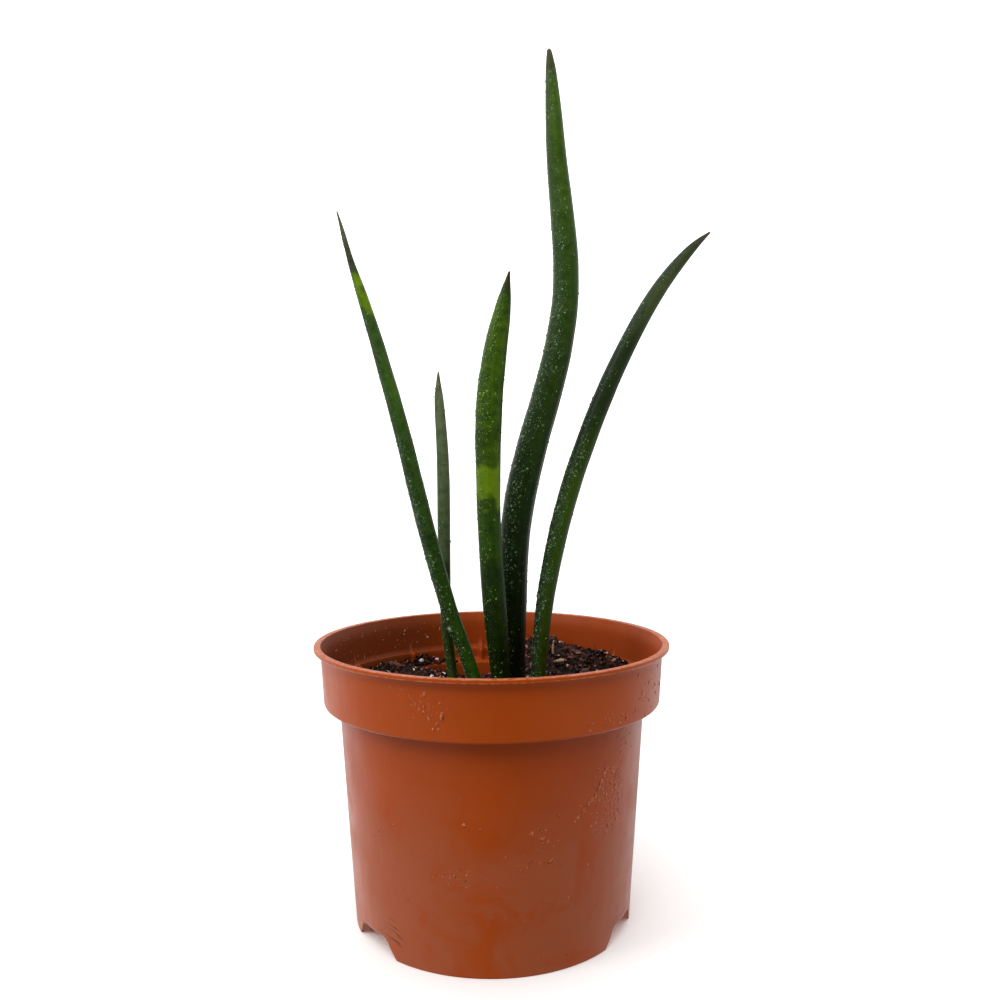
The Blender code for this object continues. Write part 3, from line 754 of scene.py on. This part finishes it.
# How many drops each leaf holds, and where along it (share of height) the bigger ones gather
MIST = {
    "leaf_left_outer": (2400, 0.25),
    "leaf_left_small": (500, 0.25),
    "leaf_centre_front": (2300, 0.66),
    "leaf_centre_tall": (4950, 0.42),
    "leaf_right": (2300, 0.30),
}
# Painted shade and sheen on the leaves: how much darker the misted side is painted (and the other side
# lighter), and how grey a veil of painted sheen it gets
MISTED_SIDE_PAINTED_SHADE = {"leaf_right": 0.34, "leaf_centre_front": 0.04}     # how much darker the misted side is
USUAL_PAINTED_SHADE = 0.12
PAINTED_SHEEN_VEIL = {"leaf_dark": 0.09, "leaf_bright": 0.03}     # how grey the misted side's veil is
MISTED_TURN = math.radians(30)     # round a leaf from its left side towards its front

# Larger drops low on the outer left leaf: height, turn round the leaf in degrees, radius in millimetres
BIG_DROP_LEAF = "leaf_left_outer"
BIG_DROPS = ((99.5, 40, 0.95), (102.5, 60, 0.5), (106.0, 35, 0.45), (95.5, 75, 0.4), (109.0, 55, 0.4))


def dome_faces(sides, rings):
    """The faces of a dome: rings of points, closed below, and one point on top after them."""
    top = rings * sides
    last = top - sides
    faces = grid_faces(rings, sides)
    faces += [(last + k, last + (k + 1) % sides, top) for k in range(sides)]
    return faces + [tuple(reversed(range(sides)))]


class Beads:
    """Many small water drops joined into one mesh: flat-bottomed domes sunk slightly in a surface."""

    SIDES = 7
    LEVELS = ((1.0, -0.25), (0.92, 0.28), (0.56, 0.70))     # shares of the radius and of the height
    TOP = 0.88
    FACES = dome_faces(SIDES, len(LEVELS))

    def __init__(self):
        self.verts = []
        self.faces = []

    def add(self, point, outward, radius, height, along, length):
        """One drop, whose length is a multiple of its width."""
        outward = Vector(outward).normalized()
        across = outward.cross(Vector(along).normalized()).normalized()
        along = across.cross(outward).normalized()
        point = Vector(point)
        first = len(self.verts)
        for share, level in self.LEVELS:
            for k in range(self.SIDES):
                turn = math.tau * k / self.SIDES
                flat = across * math.cos(turn) + along * math.sin(turn) * length
                self.verts.append(point + flat * share * radius + outward * level * height)
        self.verts.append(point + outward * self.TOP * height)
        self.faces += [tuple(first + k for k in face) for face in self.FACES]

    def build(self, name, finish):
        new_piece(name, self.verts, self.faces, finish)


def bead_leaf(leaf, seed):
    """Drops on a leaf above the mix, thickest on its misted side: most under 0.3 mm across."""
    dice = random.Random(seed)
    count, gathered = MIST[leaf.name]
    beads = Beads()
    top = leaf.centres[-1, 2]
    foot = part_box("potting_mix")[1].z - 8 * MM
    placed = 0
    while placed < count:
        place = dice.uniform(3, len(leaf.centres) - 5)
        i = int(place)
        share = (leaf.centres[i, 2] - foot) / (top - foot)
        if share < 0:
            continue
        turn = dice.uniform(0, math.tau)
        spot, out = leaf.point(place, turn)
        patch = noise.noise(Vector(spot) * 160 + Vector((seed, 0, 0)))
        thick = 0.30 + 0.70 * math.exp(-(((share - gathered) / 0.30) ** 2)) + 0.8 * patch
        thick *= 0.07 + 0.93 * smooth_step(math.cos(turn - MISTED_TURN) + 0.5 * patch, 0.15, 0.90)
        if dice.random() > thick:
            continue
        big = math.exp(-(((share - gathered) / 0.24) ** 2))
        size = dice.lognormvariate(math.log(0.090), 0.52) * (1 + 0.4 * big) * MM
        size = min(size, 0.45 * MM, 0.30 * leaf.radii[i])
        beads.add(spot, out, size, size * dice.uniform(0.50, 0.80), leaf.along[i], dice.uniform(1.0, 1.7))
        placed += 1
    if leaf.name == BIG_DROP_LEAF:
        for height, turn_deg, size in BIG_DROPS:
            place = float(np.argmin(np.abs(leaf.centres[:, 2] - height * MM)))
            spot, out = leaf.point(place, math.radians(turn_deg))
            beads.add(spot, out, size * MM, 0.9 * size * MM, leaf.along[int(place)], 1.5)
    beads.build(leaf.name.replace("leaf", "drops"), DEW[LEAF_SLOTS[leaf.name]])


# ------------------------------------------------------------------ potting mix

MIX_COLUMNS = 260
MIX_MIDDLE = 0.5                                            # radius of the innermost ring
MIX_RELIEF = ((1.1, 260), (0.8, 620), (0.4, 1400))          # how high, and the noise's scale


def neighbours(level):
    """Each height's mean over its four neighbours in the grid."""
    padded = np.pad(level, 1, mode="edge")
    return (padded[:-2, 1:-1] + padded[2:, 1:-1] + padded[1:-1, :-2] + padded[1:-1, 2:]) / 4


class MixSurface:
    """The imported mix's upper surface as a height for any place, with the holes for the leaves filled in."""

    STEP = 1.25 * MM
    REACH = 56 * MM
    LOWEST = 40 * MM              # a lower place is down a hole
    STEM_HEIGHT = 75 * MM
    CLEAR = 1.6 * MM              # round each leaf and rib
    RIBS_FROM = 51.5 * MM

    def __init__(self):
        mesh = NODES["potting_mix"].data
        tree = BVHTree.FromPolygons([v.co for v in mesh.vertices], [p.vertices for p in mesh.polygons])
        stems = [self.stem(name) for name in LEAVES]
        count = int(2 * self.REACH / self.STEP) + 1
        self.heights = np.full((count, count), np.nan)
        for i in range(count):
            for j in range(count):
                x = AXIS.x - self.REACH + i * self.STEP
                y = AXIS.y - self.REACH + j * self.STEP
                hit = tree.ray_cast(Vector((x, y, POT_HEIGHT)), Vector((0, 0, -1)))[0]
                if hit is not None and hit.z > self.LOWEST and not self.blocked(x, y, stems):
                    self.heights[i, j] = hit.z
        self.fill()

    def stem(self, name):
        centres, radii = leaf_sections(name)
        near = np.argmin(np.abs(centres[:, 2] - self.STEM_HEIGHT))
        return centres[near, 0], centres[near, 1], radii[near] + self.CLEAR

    def blocked(self, x, y, stems):
        if any(math.hypot(x - stem_x, y - stem_y) < reach for stem_x, stem_y, reach in stems):
            return True
        out = math.hypot(x - AXIS.x, y - AXIS.y)
        turn_deg = math.degrees(math.atan2(y - AXIS.y, x - AXIS.x))
        nearest = min(apart(turn_deg, middle) for middle in RIB_DEG)
        return out > self.RIBS_FROM and math.radians(nearest) * out < self.CLEAR

    def fill(self):
        """Unknown heights relax towards their neighbours, and then all are smoothed a little."""
        known = ~np.isnan(self.heights)
        level = np.where(known, self.heights, np.nanmedian(self.heights))
        for _ in range(160):
            level = np.where(known, level, neighbours(level))
        for _ in range(3):
            level = 0.5 * level + 0.5 * neighbours(level)
        self.heights = level

    def at(self, x, y):
        u = (x - AXIS.x + self.REACH) / self.STEP
        v = (y - AXIS.y + self.REACH) / self.STEP
        i = min(max(int(u), 0), self.heights.shape[0] - 2)
        j = min(max(int(v), 0), self.heights.shape[1] - 2)
        u, v = min(max(u - i, 0), 1), min(max(v - j, 0), 1)
        left, right = self.heights[i:i + 2, j] * (1 - v) + self.heights[i:i + 2, j + 1] * v
        return left * (1 - u) + right * u

    def rough(self, x, y):
        """Height with the crumbly relief on it."""
        spot = Vector((x, y, 0))
        relief = sum(rise * noise.noise(spot * scale) for rise, scale in MIX_RELIEF)
        return self.at(x, y) + relief * MM


def make_mix(surface):
    """A closed solid: crumbly top, then down the pot's inside to its floor."""
    turns = np.linspace(0, math.tau, MIX_COLUMNS, endpoint=False)
    body_wall = body_radius(LEDGE) - WALL
    collar_wall = COLLAR_FOOT_RADIUS - WALL - 0.1
    radii = [*np.linspace(MIX_MIDDLE, body_wall + 0.1, 62), *np.linspace(body_wall + 0.5, collar_wall, 9)]
    hidden = LEDGE - 0.25
    verts = []
    for r in radii:
        for turn in turns:
            x, y = AXIS.x + r * MM * math.cos(turn), AXIS.y + r * MM * math.sin(turn)
            z = surface.rough(x, y)
            if r > body_wall + 0.2:
                z = max(z, hidden * MM)
            verts.append((x, y, z))
    under = [(collar_wall, hidden - 0.5), (body_wall + 0.5, hidden - 0.7)]
    under += [(body_radius(z) - WALL + 0.1, z) for z in np.linspace(58, FLOOR_TOP + 3, 5)]
    under += [(body_radius(FLOOR_TOP) - WALL - 2.5, FLOOR_TOP + 0.1), (MIX_MIDDLE, FLOOR_TOP + 0.1)]
    for r, z in under:
        verts += [(AXIS.x + r * MM * math.cos(t), AXIS.y + r * MM * math.sin(t), z * MM) for t in turns]
    rows = len(radii) + len(under)
    faces = grid_faces(rows, MIX_COLUMNS)
    last = (rows - 1) * MIX_COLUMNS
    faces += [tuple(reversed(range(MIX_COLUMNS))), tuple(range(last, last + MIX_COLUMNS))]
    mix = new_piece("damp_potting_mix", verts, faces, mix_material(), ["potting_mix"])
    tidy_normals(mix)


# Loose bits: seed, how many, slot, and their finish's roughness, noise scale and depth of relief
BITS = {
    "mix_crumbs": (11, 3400, "potting_mix", 0.85, 1600.0, 0.3 * MM),
    "bark_bits": (12, 420, "bark", 0.8, 900.0, 0.4 * MM),
    "pale_flecks": (15, 520, "bark", 0.6, 1600.0, 0.3 * MM),
    "mix_fibres": (13, 160, "bark", 0.8, 900.0, 0.2 * MM),
    "perlite_grit": (14, 46, "perlite", 0.75, 1500.0, 0.3 * MM),
}


class Bits:
    """Many loose bits joined into one mesh, each with its own tint."""

    def __init__(self, name):
        self.name = name
        seed, self.count, self.slot, *self.finish = BITS[name]
        self.dice = random.Random(seed)
        self.verts = []
        self.faces = []
        self.tints = []

    def add(self, verts, faces, tint):
        first = len(self.verts)
        self.verts += verts
        self.faces += [tuple(first + k for k in face) for face in faces]
        self.tints += [tint] * len(faces)

    def lump(self, centre, size, turn, tint, knock):
        """An angular lump: a rough ball squeezed to (length, width, thickness)."""
        verts = []
        for corner in BALL_VERTS:
            knocked = corner * self.dice.uniform(1 - knock, 1.0)
            verts.append(centre + turn @ Vector(a * b * 0.5 for a, b in zip(knocked, size)))
        self.add(verts, BALL_FACES, tint)

    def thread(self, start, direction, length, thick, tint):
        """A bent fibre of triangular section."""
        side = direction.orthogonal().normalized()
        other = direction.cross(side).normalized()
        bend = self.dice.uniform(-0.6, 0.6)
        verts = []
        for i in range(THREAD_STEPS + 1):
            t = i / THREAD_STEPS
            middle = start + direction * length * t + side * bend * length * t * t * 0.5
            girth = thick * (1 - 0.6 * abs(2 * t - 1) ** 3)
            for turn in (0, math.tau / 3, 2 * math.tau / 3):
                verts.append(middle + (side * math.cos(turn) + other * math.sin(turn)) * girth)
        last = 3 * THREAD_STEPS
        faces = grid_faces(THREAD_STEPS + 1, 3) + [(2, 1, 0), (last, last + 1, last + 2)]
        self.add(verts, faces, tint)

    def build(self):
        finish = tinted_material(self.name, *self.finish)
        piece = new_piece(self.name, self.verts, self.faces, finish, smooth=False)
        layer = piece.data.attributes.new("tint", "FLOAT_COLOR", "FACE")
        layer.data.foreach_set("color", np.array(self.tints, np.float32).ravel())


def rough_ball():
    bm = bmesh.new()
    bmesh.ops.create_icosphere(bm, subdivisions=1, radius=1.0)
    verts = [v.co.copy() for v in bm.verts]
    faces = [tuple(v.index for v in f.verts) for f in bm.faces]
    bm.free()
    return verts, faces


BALL_VERTS, BALL_FACES = rough_ball()
THREAD_STEPS = 6

CRUMB_TINTS = (
    (15, rgb(10, 4, 3)),
    (11, rgb(26, 12, 8)),
    (7, rgb(52, 24, 16)),
    (4, rgb(106, 52, 42)),
    (2.4, rgb(166, 94, 82)),
    (1.8, rgb(206, 172, 140)),
)
FLECK_TINTS = (
    (5, rgb(150, 78, 66)),
    (4, rgb(176, 112, 96)),
    (3, rgb(206, 170, 136)),
    (1.5, rgb(228, 214, 196)),
)
LEDGE_CRUMBS = 230
LEDGE_INNER = body_radius(LEDGE) - WALL
LEDGE_OUTER = COLLAR_FOOT_RADIUS - WALL - 0.8
WIDEST = COLLAR_FOOT_RADIUS - WALL - 0.9          # how far out crumbs and flecks are strewn
SPILL = (122, 8)          # direction and spread, in degrees, of the compost spilt on the ledge
SPILL_HEIGHT = 3.6
BARK_TINTS = (
    (7, rgb(24, 11, 8)),
    (5, rgb(52, 24, 16)),
    (2, rgb(104, 54, 38)),
    (1, rgb(160, 116, 86)),
)


def pick(dice, tints):
    tint = dice.choices([t for _, t in tints], weights=[w for w, _ in tints])[0]
    shade = dice.uniform(0.75, 1.25)
    return (*(shade * value for value in tint[:3]), 1.0)


def somewhere_on(surface, dice, reach):
    """A random place on the mix's surface where the mix shows, with its height."""
    while True:
        r = reach * MM * math.sqrt(dice.random())
        turn = dice.uniform(0, math.tau)
        x, y = AXIS.x + r * math.cos(turn), AXIS.y + r * math.sin(turn)
        z = surface.rough(x, y)
        if r < (LEDGE_INNER - 0.8) * MM or z > (LEDGE + 0.3) * MM:
            return Vector((x, y, z))


def any_turn(dice):
    turn = Matrix.Rotation(dice.uniform(0, math.tau), 3, "Z")
    tilt = Matrix.Rotation(dice.uniform(-0.9, 0.9), 3, "X")
    return turn @ tilt @ Matrix.Rotation(dice.uniform(-0.9, 0.9), 3, "Y")


def crumb(dice):
    """How far a crumb's middle stands above the mix, and its length, width and thickness."""
    size = dice.lognormvariate(math.log(1.05), 0.38) * MM
    rise = size * dice.uniform(-0.1, 0.35)
    return rise, (size * dice.uniform(0.8, 1.7), size, size * dice.uniform(0.5, 0.9))


def bark_bit(dice):
    length = dice.uniform(2.0, 5.2) * MM
    return 0.35 * MM, (length, length * dice.uniform(0.3, 0.6), length * dice.uniform(0.12, 0.3))


def fleck(dice):
    size = dice.uniform(0.45, 1.2) * MM
    return 0.55 * size, (size * dice.uniform(1.0, 2.2), size, 0.5 * size)


def strew(name, surface, reach, shape, tints, knock):
    """Lumps of one kind strewn over the mix."""
    bits = Bits(name)
    for _ in range(bits.count):
        spot = somewhere_on(surface, bits.dice, reach)
        rise, size = shape(bits.dice)
        spot.z += rise
        bits.lump(spot, size, any_turn(bits.dice), pick(bits.dice, tints), knock)
    return bits


def spill(crumbs):
    """Crumbs on the ledge, heaped where the compost was spilt."""
    dice = crumbs.dice
    for _ in range(LEDGE_CRUMBS):
        size = dice.lognormvariate(math.log(1.15), 0.35) * MM
        turn_deg = dice.gauss(*SPILL)
        out = dice.uniform(LEDGE_INNER, LEDGE_OUTER)
        pile = SPILL_HEIGHT * math.exp(-(((turn_deg - SPILL[0]) / SPILL[1]) ** 2)) * dice.random()
        spot = on_pot(turn_deg, out, LEDGE + pile * smooth_step(out, 52.0, 53.6))
        spot.z += 0.3 * size
        crumbs.lump(spot, (1.3 * size, size, 0.8 * size), any_turn(dice), pick(dice, CRUMB_TINTS), 0.42)


def scatter_mix(surface):
    crumbs = strew("mix_crumbs", surface, WIDEST, crumb, CRUMB_TINTS, 0.42)
    spill(crumbs)
    crumbs.build()
    strew("bark_bits", surface, 53, bark_bit, BARK_TINTS, 0.35).build()
    strew("pale_flecks", surface, WIDEST, fleck, FLECK_TINTS, 0.4).build()

    fibres = Bits("mix_fibres")
    dice = fibres.dice
    for _ in range(fibres.count):
        spot = somewhere_on(surface, dice, 52)
        direction = (any_turn(dice) @ Vector((1, 0, dice.uniform(-0.1, 0.5)))).normalized()
        length, thick = dice.uniform(2.5, 7) * MM, dice.uniform(0.10, 0.24) * MM
        fibres.thread(spot, direction, length, thick, pick(dice, BARK_TINTS))
    fibres.build()

    grit = Bits("perlite_grit")
    dice = grit.dice
    for _ in range(grit.count):
        spot = somewhere_on(surface, dice, 52)
        size = dice.uniform(0.7, 1.5) * MM
        spot.z += 0.3 * size
        pale = dice.uniform(0.45, 0.8)
        tint = (pale, 0.96 * pale, 0.88 * pale, 1)
        grit.lump(spot, (1.2 * size, size, 0.9 * size), any_turn(dice), tint, 0.3)
    grit.build()


# ------------------------------------------------------------------ packed loose pieces

def refine(node, name, finish, knock, levels=3, scale=900.0):
    """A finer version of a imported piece: the same form, subdivided and roughened."""
    mesh = NODES[node].data.copy()
    mesh.name = name
    mesh.materials.clear()
    mesh.materials.append(finish)
    with editing(mesh) as bm:
        bmesh.ops.remove_doubles(bm, verts=bm.verts, dist=0.01 * MM)
    piece = linked(name, mesh)
    grow = piece.modifiers.new("finer", "SUBSURF")
    grow.subdivision_type = "SIMPLE"
    grow.levels = grow.render_levels = levels
    apply_modifiers(piece)
    piece.data.update()
    for vertex in piece.data.vertices:
        spot = vertex.co * scale
        rise = noise.noise(spot) + 0.5 * noise.noise(spot * 2.3)
        vertex.co += vertex.normal * (rise - 0.3) * knock
    piece.data.shade_smooth()
    settle(piece, [node])


def finish_loose_pieces():
    flat = (1.0, 4.0, 4.0)
    bark = woody_material("bark", rgb(34, 15, 10), rgb(96, 52, 36), flat, 420.0)
    tan = woody_material("tan_bark", rgb(120, 82, 58), rgb(196, 158, 120), flat, 420.0)
    pale = woody_material("pale_wood", rgb(132, 84, 56), rgb(206, 164, 126), (5.0, 5.0, 0.5), 260.0)
    white = woody_material("perlite", rgb(176, 170, 160), rgb(238, 236, 230), (1.0, 1.0, 1.0), 1300.0)
    for i in range(1, 6):
        refine(f"bark_chip_{i}", f"bark_piece_{i}", tan if i == 1 else bark, 0.35 * MM)
    for i in range(1, 7):
        refine(f"perlite_{i}", f"perlite_grain_{i}", white, 0.22 * MM, scale=1500.0)
    refine("wood_sliver", "split_sliver", pale, 0.10 * MM, levels=2)


def finish_hidden_nodes():
    """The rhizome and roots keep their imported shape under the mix, with their own finish."""
    fleshy = woody_material("rhizome", rgb(150, 96, 48), rgb(206, 150, 86), (0.4, 2.0, 2.0), 220.0)
    stringy = woody_material("root", rgb(168, 112, 58), rgb(214, 164, 100), (1.0, 1.0, 5.0), 500.0)
    for name, node in NODES.items():
        if name == "rhizome" or name.startswith("root_"):
            node.data.materials.clear()
            node.data.materials.append(fleshy if name == "rhizome" else stringy)


# ------------------------------------------------------------------ water on the pot

# Groups of drops on the outside: direction and its spread (degrees), height and its spread (mm), how many
DROP_GROUPS = (
    (-41, 3.6, 56.5, 3.0, 60),
    (-41, 4.0, 47.0, 4.2, 90),
    (-38, 5.0, 66.0, 4.0, 14),
    (-52, 6.0, 50.0, 6.0, 20),
    (-47, 7.0, 77.5, 1.2, 22),
    (-111, 5.0, 86.5, 1.6, 16),
    (-28, 8.0, 84.0, 3.6, 46),
    (-110, 4.0, 83.5, 2.6, 34),
    (-71, 3.5, 42.0, 2.6, 26),
    (-74, 5.0, 35.5, 0.5, 22),
    (-103, 4.0, 31.0, 2.4, 24),
    (-137, 2.0, 41.0, 3.0, 10),
    (-85, 30.0, 40.0, 16.0, 30),
)
HIGHEST_DROP = 89.0
DRY_STRIP = 1.6           # no drop sits this close to the shoulder's edge
DRIED_DROPS = 150
DRIED_TURNS = (105, 190)
DRIED_HEIGHTS = (79.9, 90.5)
# Water that ran down: a row of joined drops through these places (direction, height)
RUN = ((-46, 60.5), (-49, 56.0), (-51, 53.0), (-54, 51.0), (-59, 47.0))


def outside_radius(z):
    if z < SHOULDER:
        return body_radius(z)
    share = (z - SHOULDER) / (POT_HEIGHT / MM - SHOULDER)
    return COLLAR_FOOT_RADIUS + (COLLAR_TOP_RADIUS - COLLAR_FOOT_RADIUS) * share


def bead_pot():
    """Drops and a bent run on the right of the collar and body, and old dried ones inside at the left."""
    dice = random.Random(31)
    clear = Beads()
    for turn, turn_spread, z, z_spread, count in DROP_GROUPS:
        for _ in range(count):
            height = min(dice.gauss(z, z_spread), HIGHEST_DROP)
            if abs(height - SHOULDER) < DRY_STRIP:
                continue
            put_on_pot(clear, dice, dice.gauss(turn, turn_spread), height, outside_radius(height), 1, 0.26)
    for (turn, z), (next_turn, next_z) in zip(RUN, RUN[1:]):
        for k in range(9):
            share = k / 9
            height = z + (next_z - z) * share
            here = turn + (next_turn - turn) * share + dice.uniform(-0.15, 0.15)
            put_on_pot(clear, dice, here, height, body_radius(height), 1, 0.30)
    clear.build("drops_on_pot", dew_material("wet_plastic", rgb(136, 56, 14), rgb(186, 98, 62), shine=0.25))

    dried = Beads()
    for _ in range(DRIED_DROPS):
        z = dice.uniform(*DRIED_HEIGHTS)
        put_on_pot(dried, dice, dice.uniform(*DRIED_TURNS), z, collar_inside(z), -1, 0.20, 4.0)
    finish = dew_material("dried_drops", rgb(110, 56, 30), rgb(184, 128, 94), shine=0.2)
    dried.build("dried_drops_inside", finish)


def put_on_pot(beads, dice, turn_deg, z, radius, side, usual, longest=2.0):
    """A drop of about the usual radius on the pot's outside (side 1) or inside (side -1)."""
    point = on_pot(turn_deg, radius, z)
    out = Vector((point.x - AXIS.x, point.y - AXIS.y, 0))
    size = min(dice.lognormvariate(math.log(usual), 0.4), 0.7) * MM
    run = dice.choice((1.0, 1.0, 1.1, 1.3, longest))
    beads.add(point, out * side, size, size * 0.45, (0, 0, 1), run)


# ------------------------------------------------------------------ studio

CAMERA_OFFSET = Vector((3.1, -329.7, 157.3)) * MM     # from the pot's axis on the ground
CAMERA_TILT = (87.234, 0.285, -0.014)
CAMERA_LENS = 34.91

# Where the soft light comes from: axis of the direction, where it starts and is full, and strength
SKY = (
    ("X", 0.1, -0.9, 0.76),
    ("X", 0.2, 0.95, 0.60),
    ("Y", -0.1, 0.8, 0.76),
    ("Z", 0.2, 0.95, 1.00),
    ("Z", -0.05, -0.6, 0.46),
)
# Suns: name, the way the light goes, how wide it is in degrees, and strength
SUNS = (("key", (0.80, 0.38, -0.62), 24, 0.80), ("front_top", (0.1, 0.6, -0.80), 30, 0.86))
FLOOR_RADIUS = 6.0


def make_camera():
    camera = linked("camera", bpy.data.cameras.new("camera"))
    camera.data.lens = CAMERA_LENS
    camera.location = AXIS + CAMERA_OFFSET
    camera.rotation_euler = [math.radians(a) for a in CAMERA_TILT]
    bpy.context.scene.camera = camera


def make_world():
    """Soft light from both sides, from behind and from above, and a fill from below in place of the
    floor's own bounce. The camera sees plain white past the plant."""
    n = Nodes("studio", "worlds", "Background")
    direction = n.add("ShaderNodeTexCoord").outputs["Generated"]
    light = n.add("ShaderNodeLightPath").outputs["Is Camera Ray"]
    for axis, start, end, strength in SKY:
        light = n.maths("ADD", light, n.spread(n.part(direction, axis), start, end, 0.0, strength))
    bpy.context.scene.world = n.finish(color=(1, 1, 1, 1), strength=light)


def soft_sun(name, towards, spread_deg, strength):
    """An even soft light from far away, like a large diffuser."""
    light = linked(name, bpy.data.lights.new(name, "SUN"))
    light.data.angle = math.radians(spread_deg)
    light.data.energy = strength
    light.rotation_euler = Vector(towards).to_track_quat("-Z", "Y").to_euler()


def make_studio():
    bpy.context.scene.view_settings.view_transform = "Standard"
    make_world()
    for sun in SUNS:
        soft_sun(*sun)
    n = Nodes("floor")
    tone = n.noise(n.object_coordinates(), 3.0, detail=2)
    base = n.mix(tone, (0.95, 0.95, 0.945, 1), (0.97, 0.97, 0.965, 1))
    mesh = bpy.data.meshes.new("floor")
    with editing(mesh) as bm:
        bmesh.ops.create_circle(bm, cap_ends=True, segments=96, radius=FLOOR_RADIUS)
    mesh.materials.append(n.finish(base_color=base, roughness=0.9))
    floor = linked("floor", mesh)
    floor.visible_glossy = False
    floor.visible_diffuse = False


# ------------------------------------------------------------------ everything

DEW = {
    "leaf_dark": dew_material("dew", rgb(20, 38, 10), rgb(98, 130, 80)),
    "leaf_bright": dew_material("dew_on_bright", rgb(46, 74, 6), rgb(112, 148, 50), shine=0.3),
}
make_camera()
make_studio()
make_pot()
bead_pot()
for number, leaf_name in enumerate(LEAVES):
    grown = Leaf(leaf_name, 40 + number)
    make_leaf(grown)
    bead_leaf(grown, 60 + number)
mix_surface = MixSurface()
make_mix(mix_surface)
scatter_mix(mix_surface)
finish_loose_pieces()
finish_hidden_nodes()
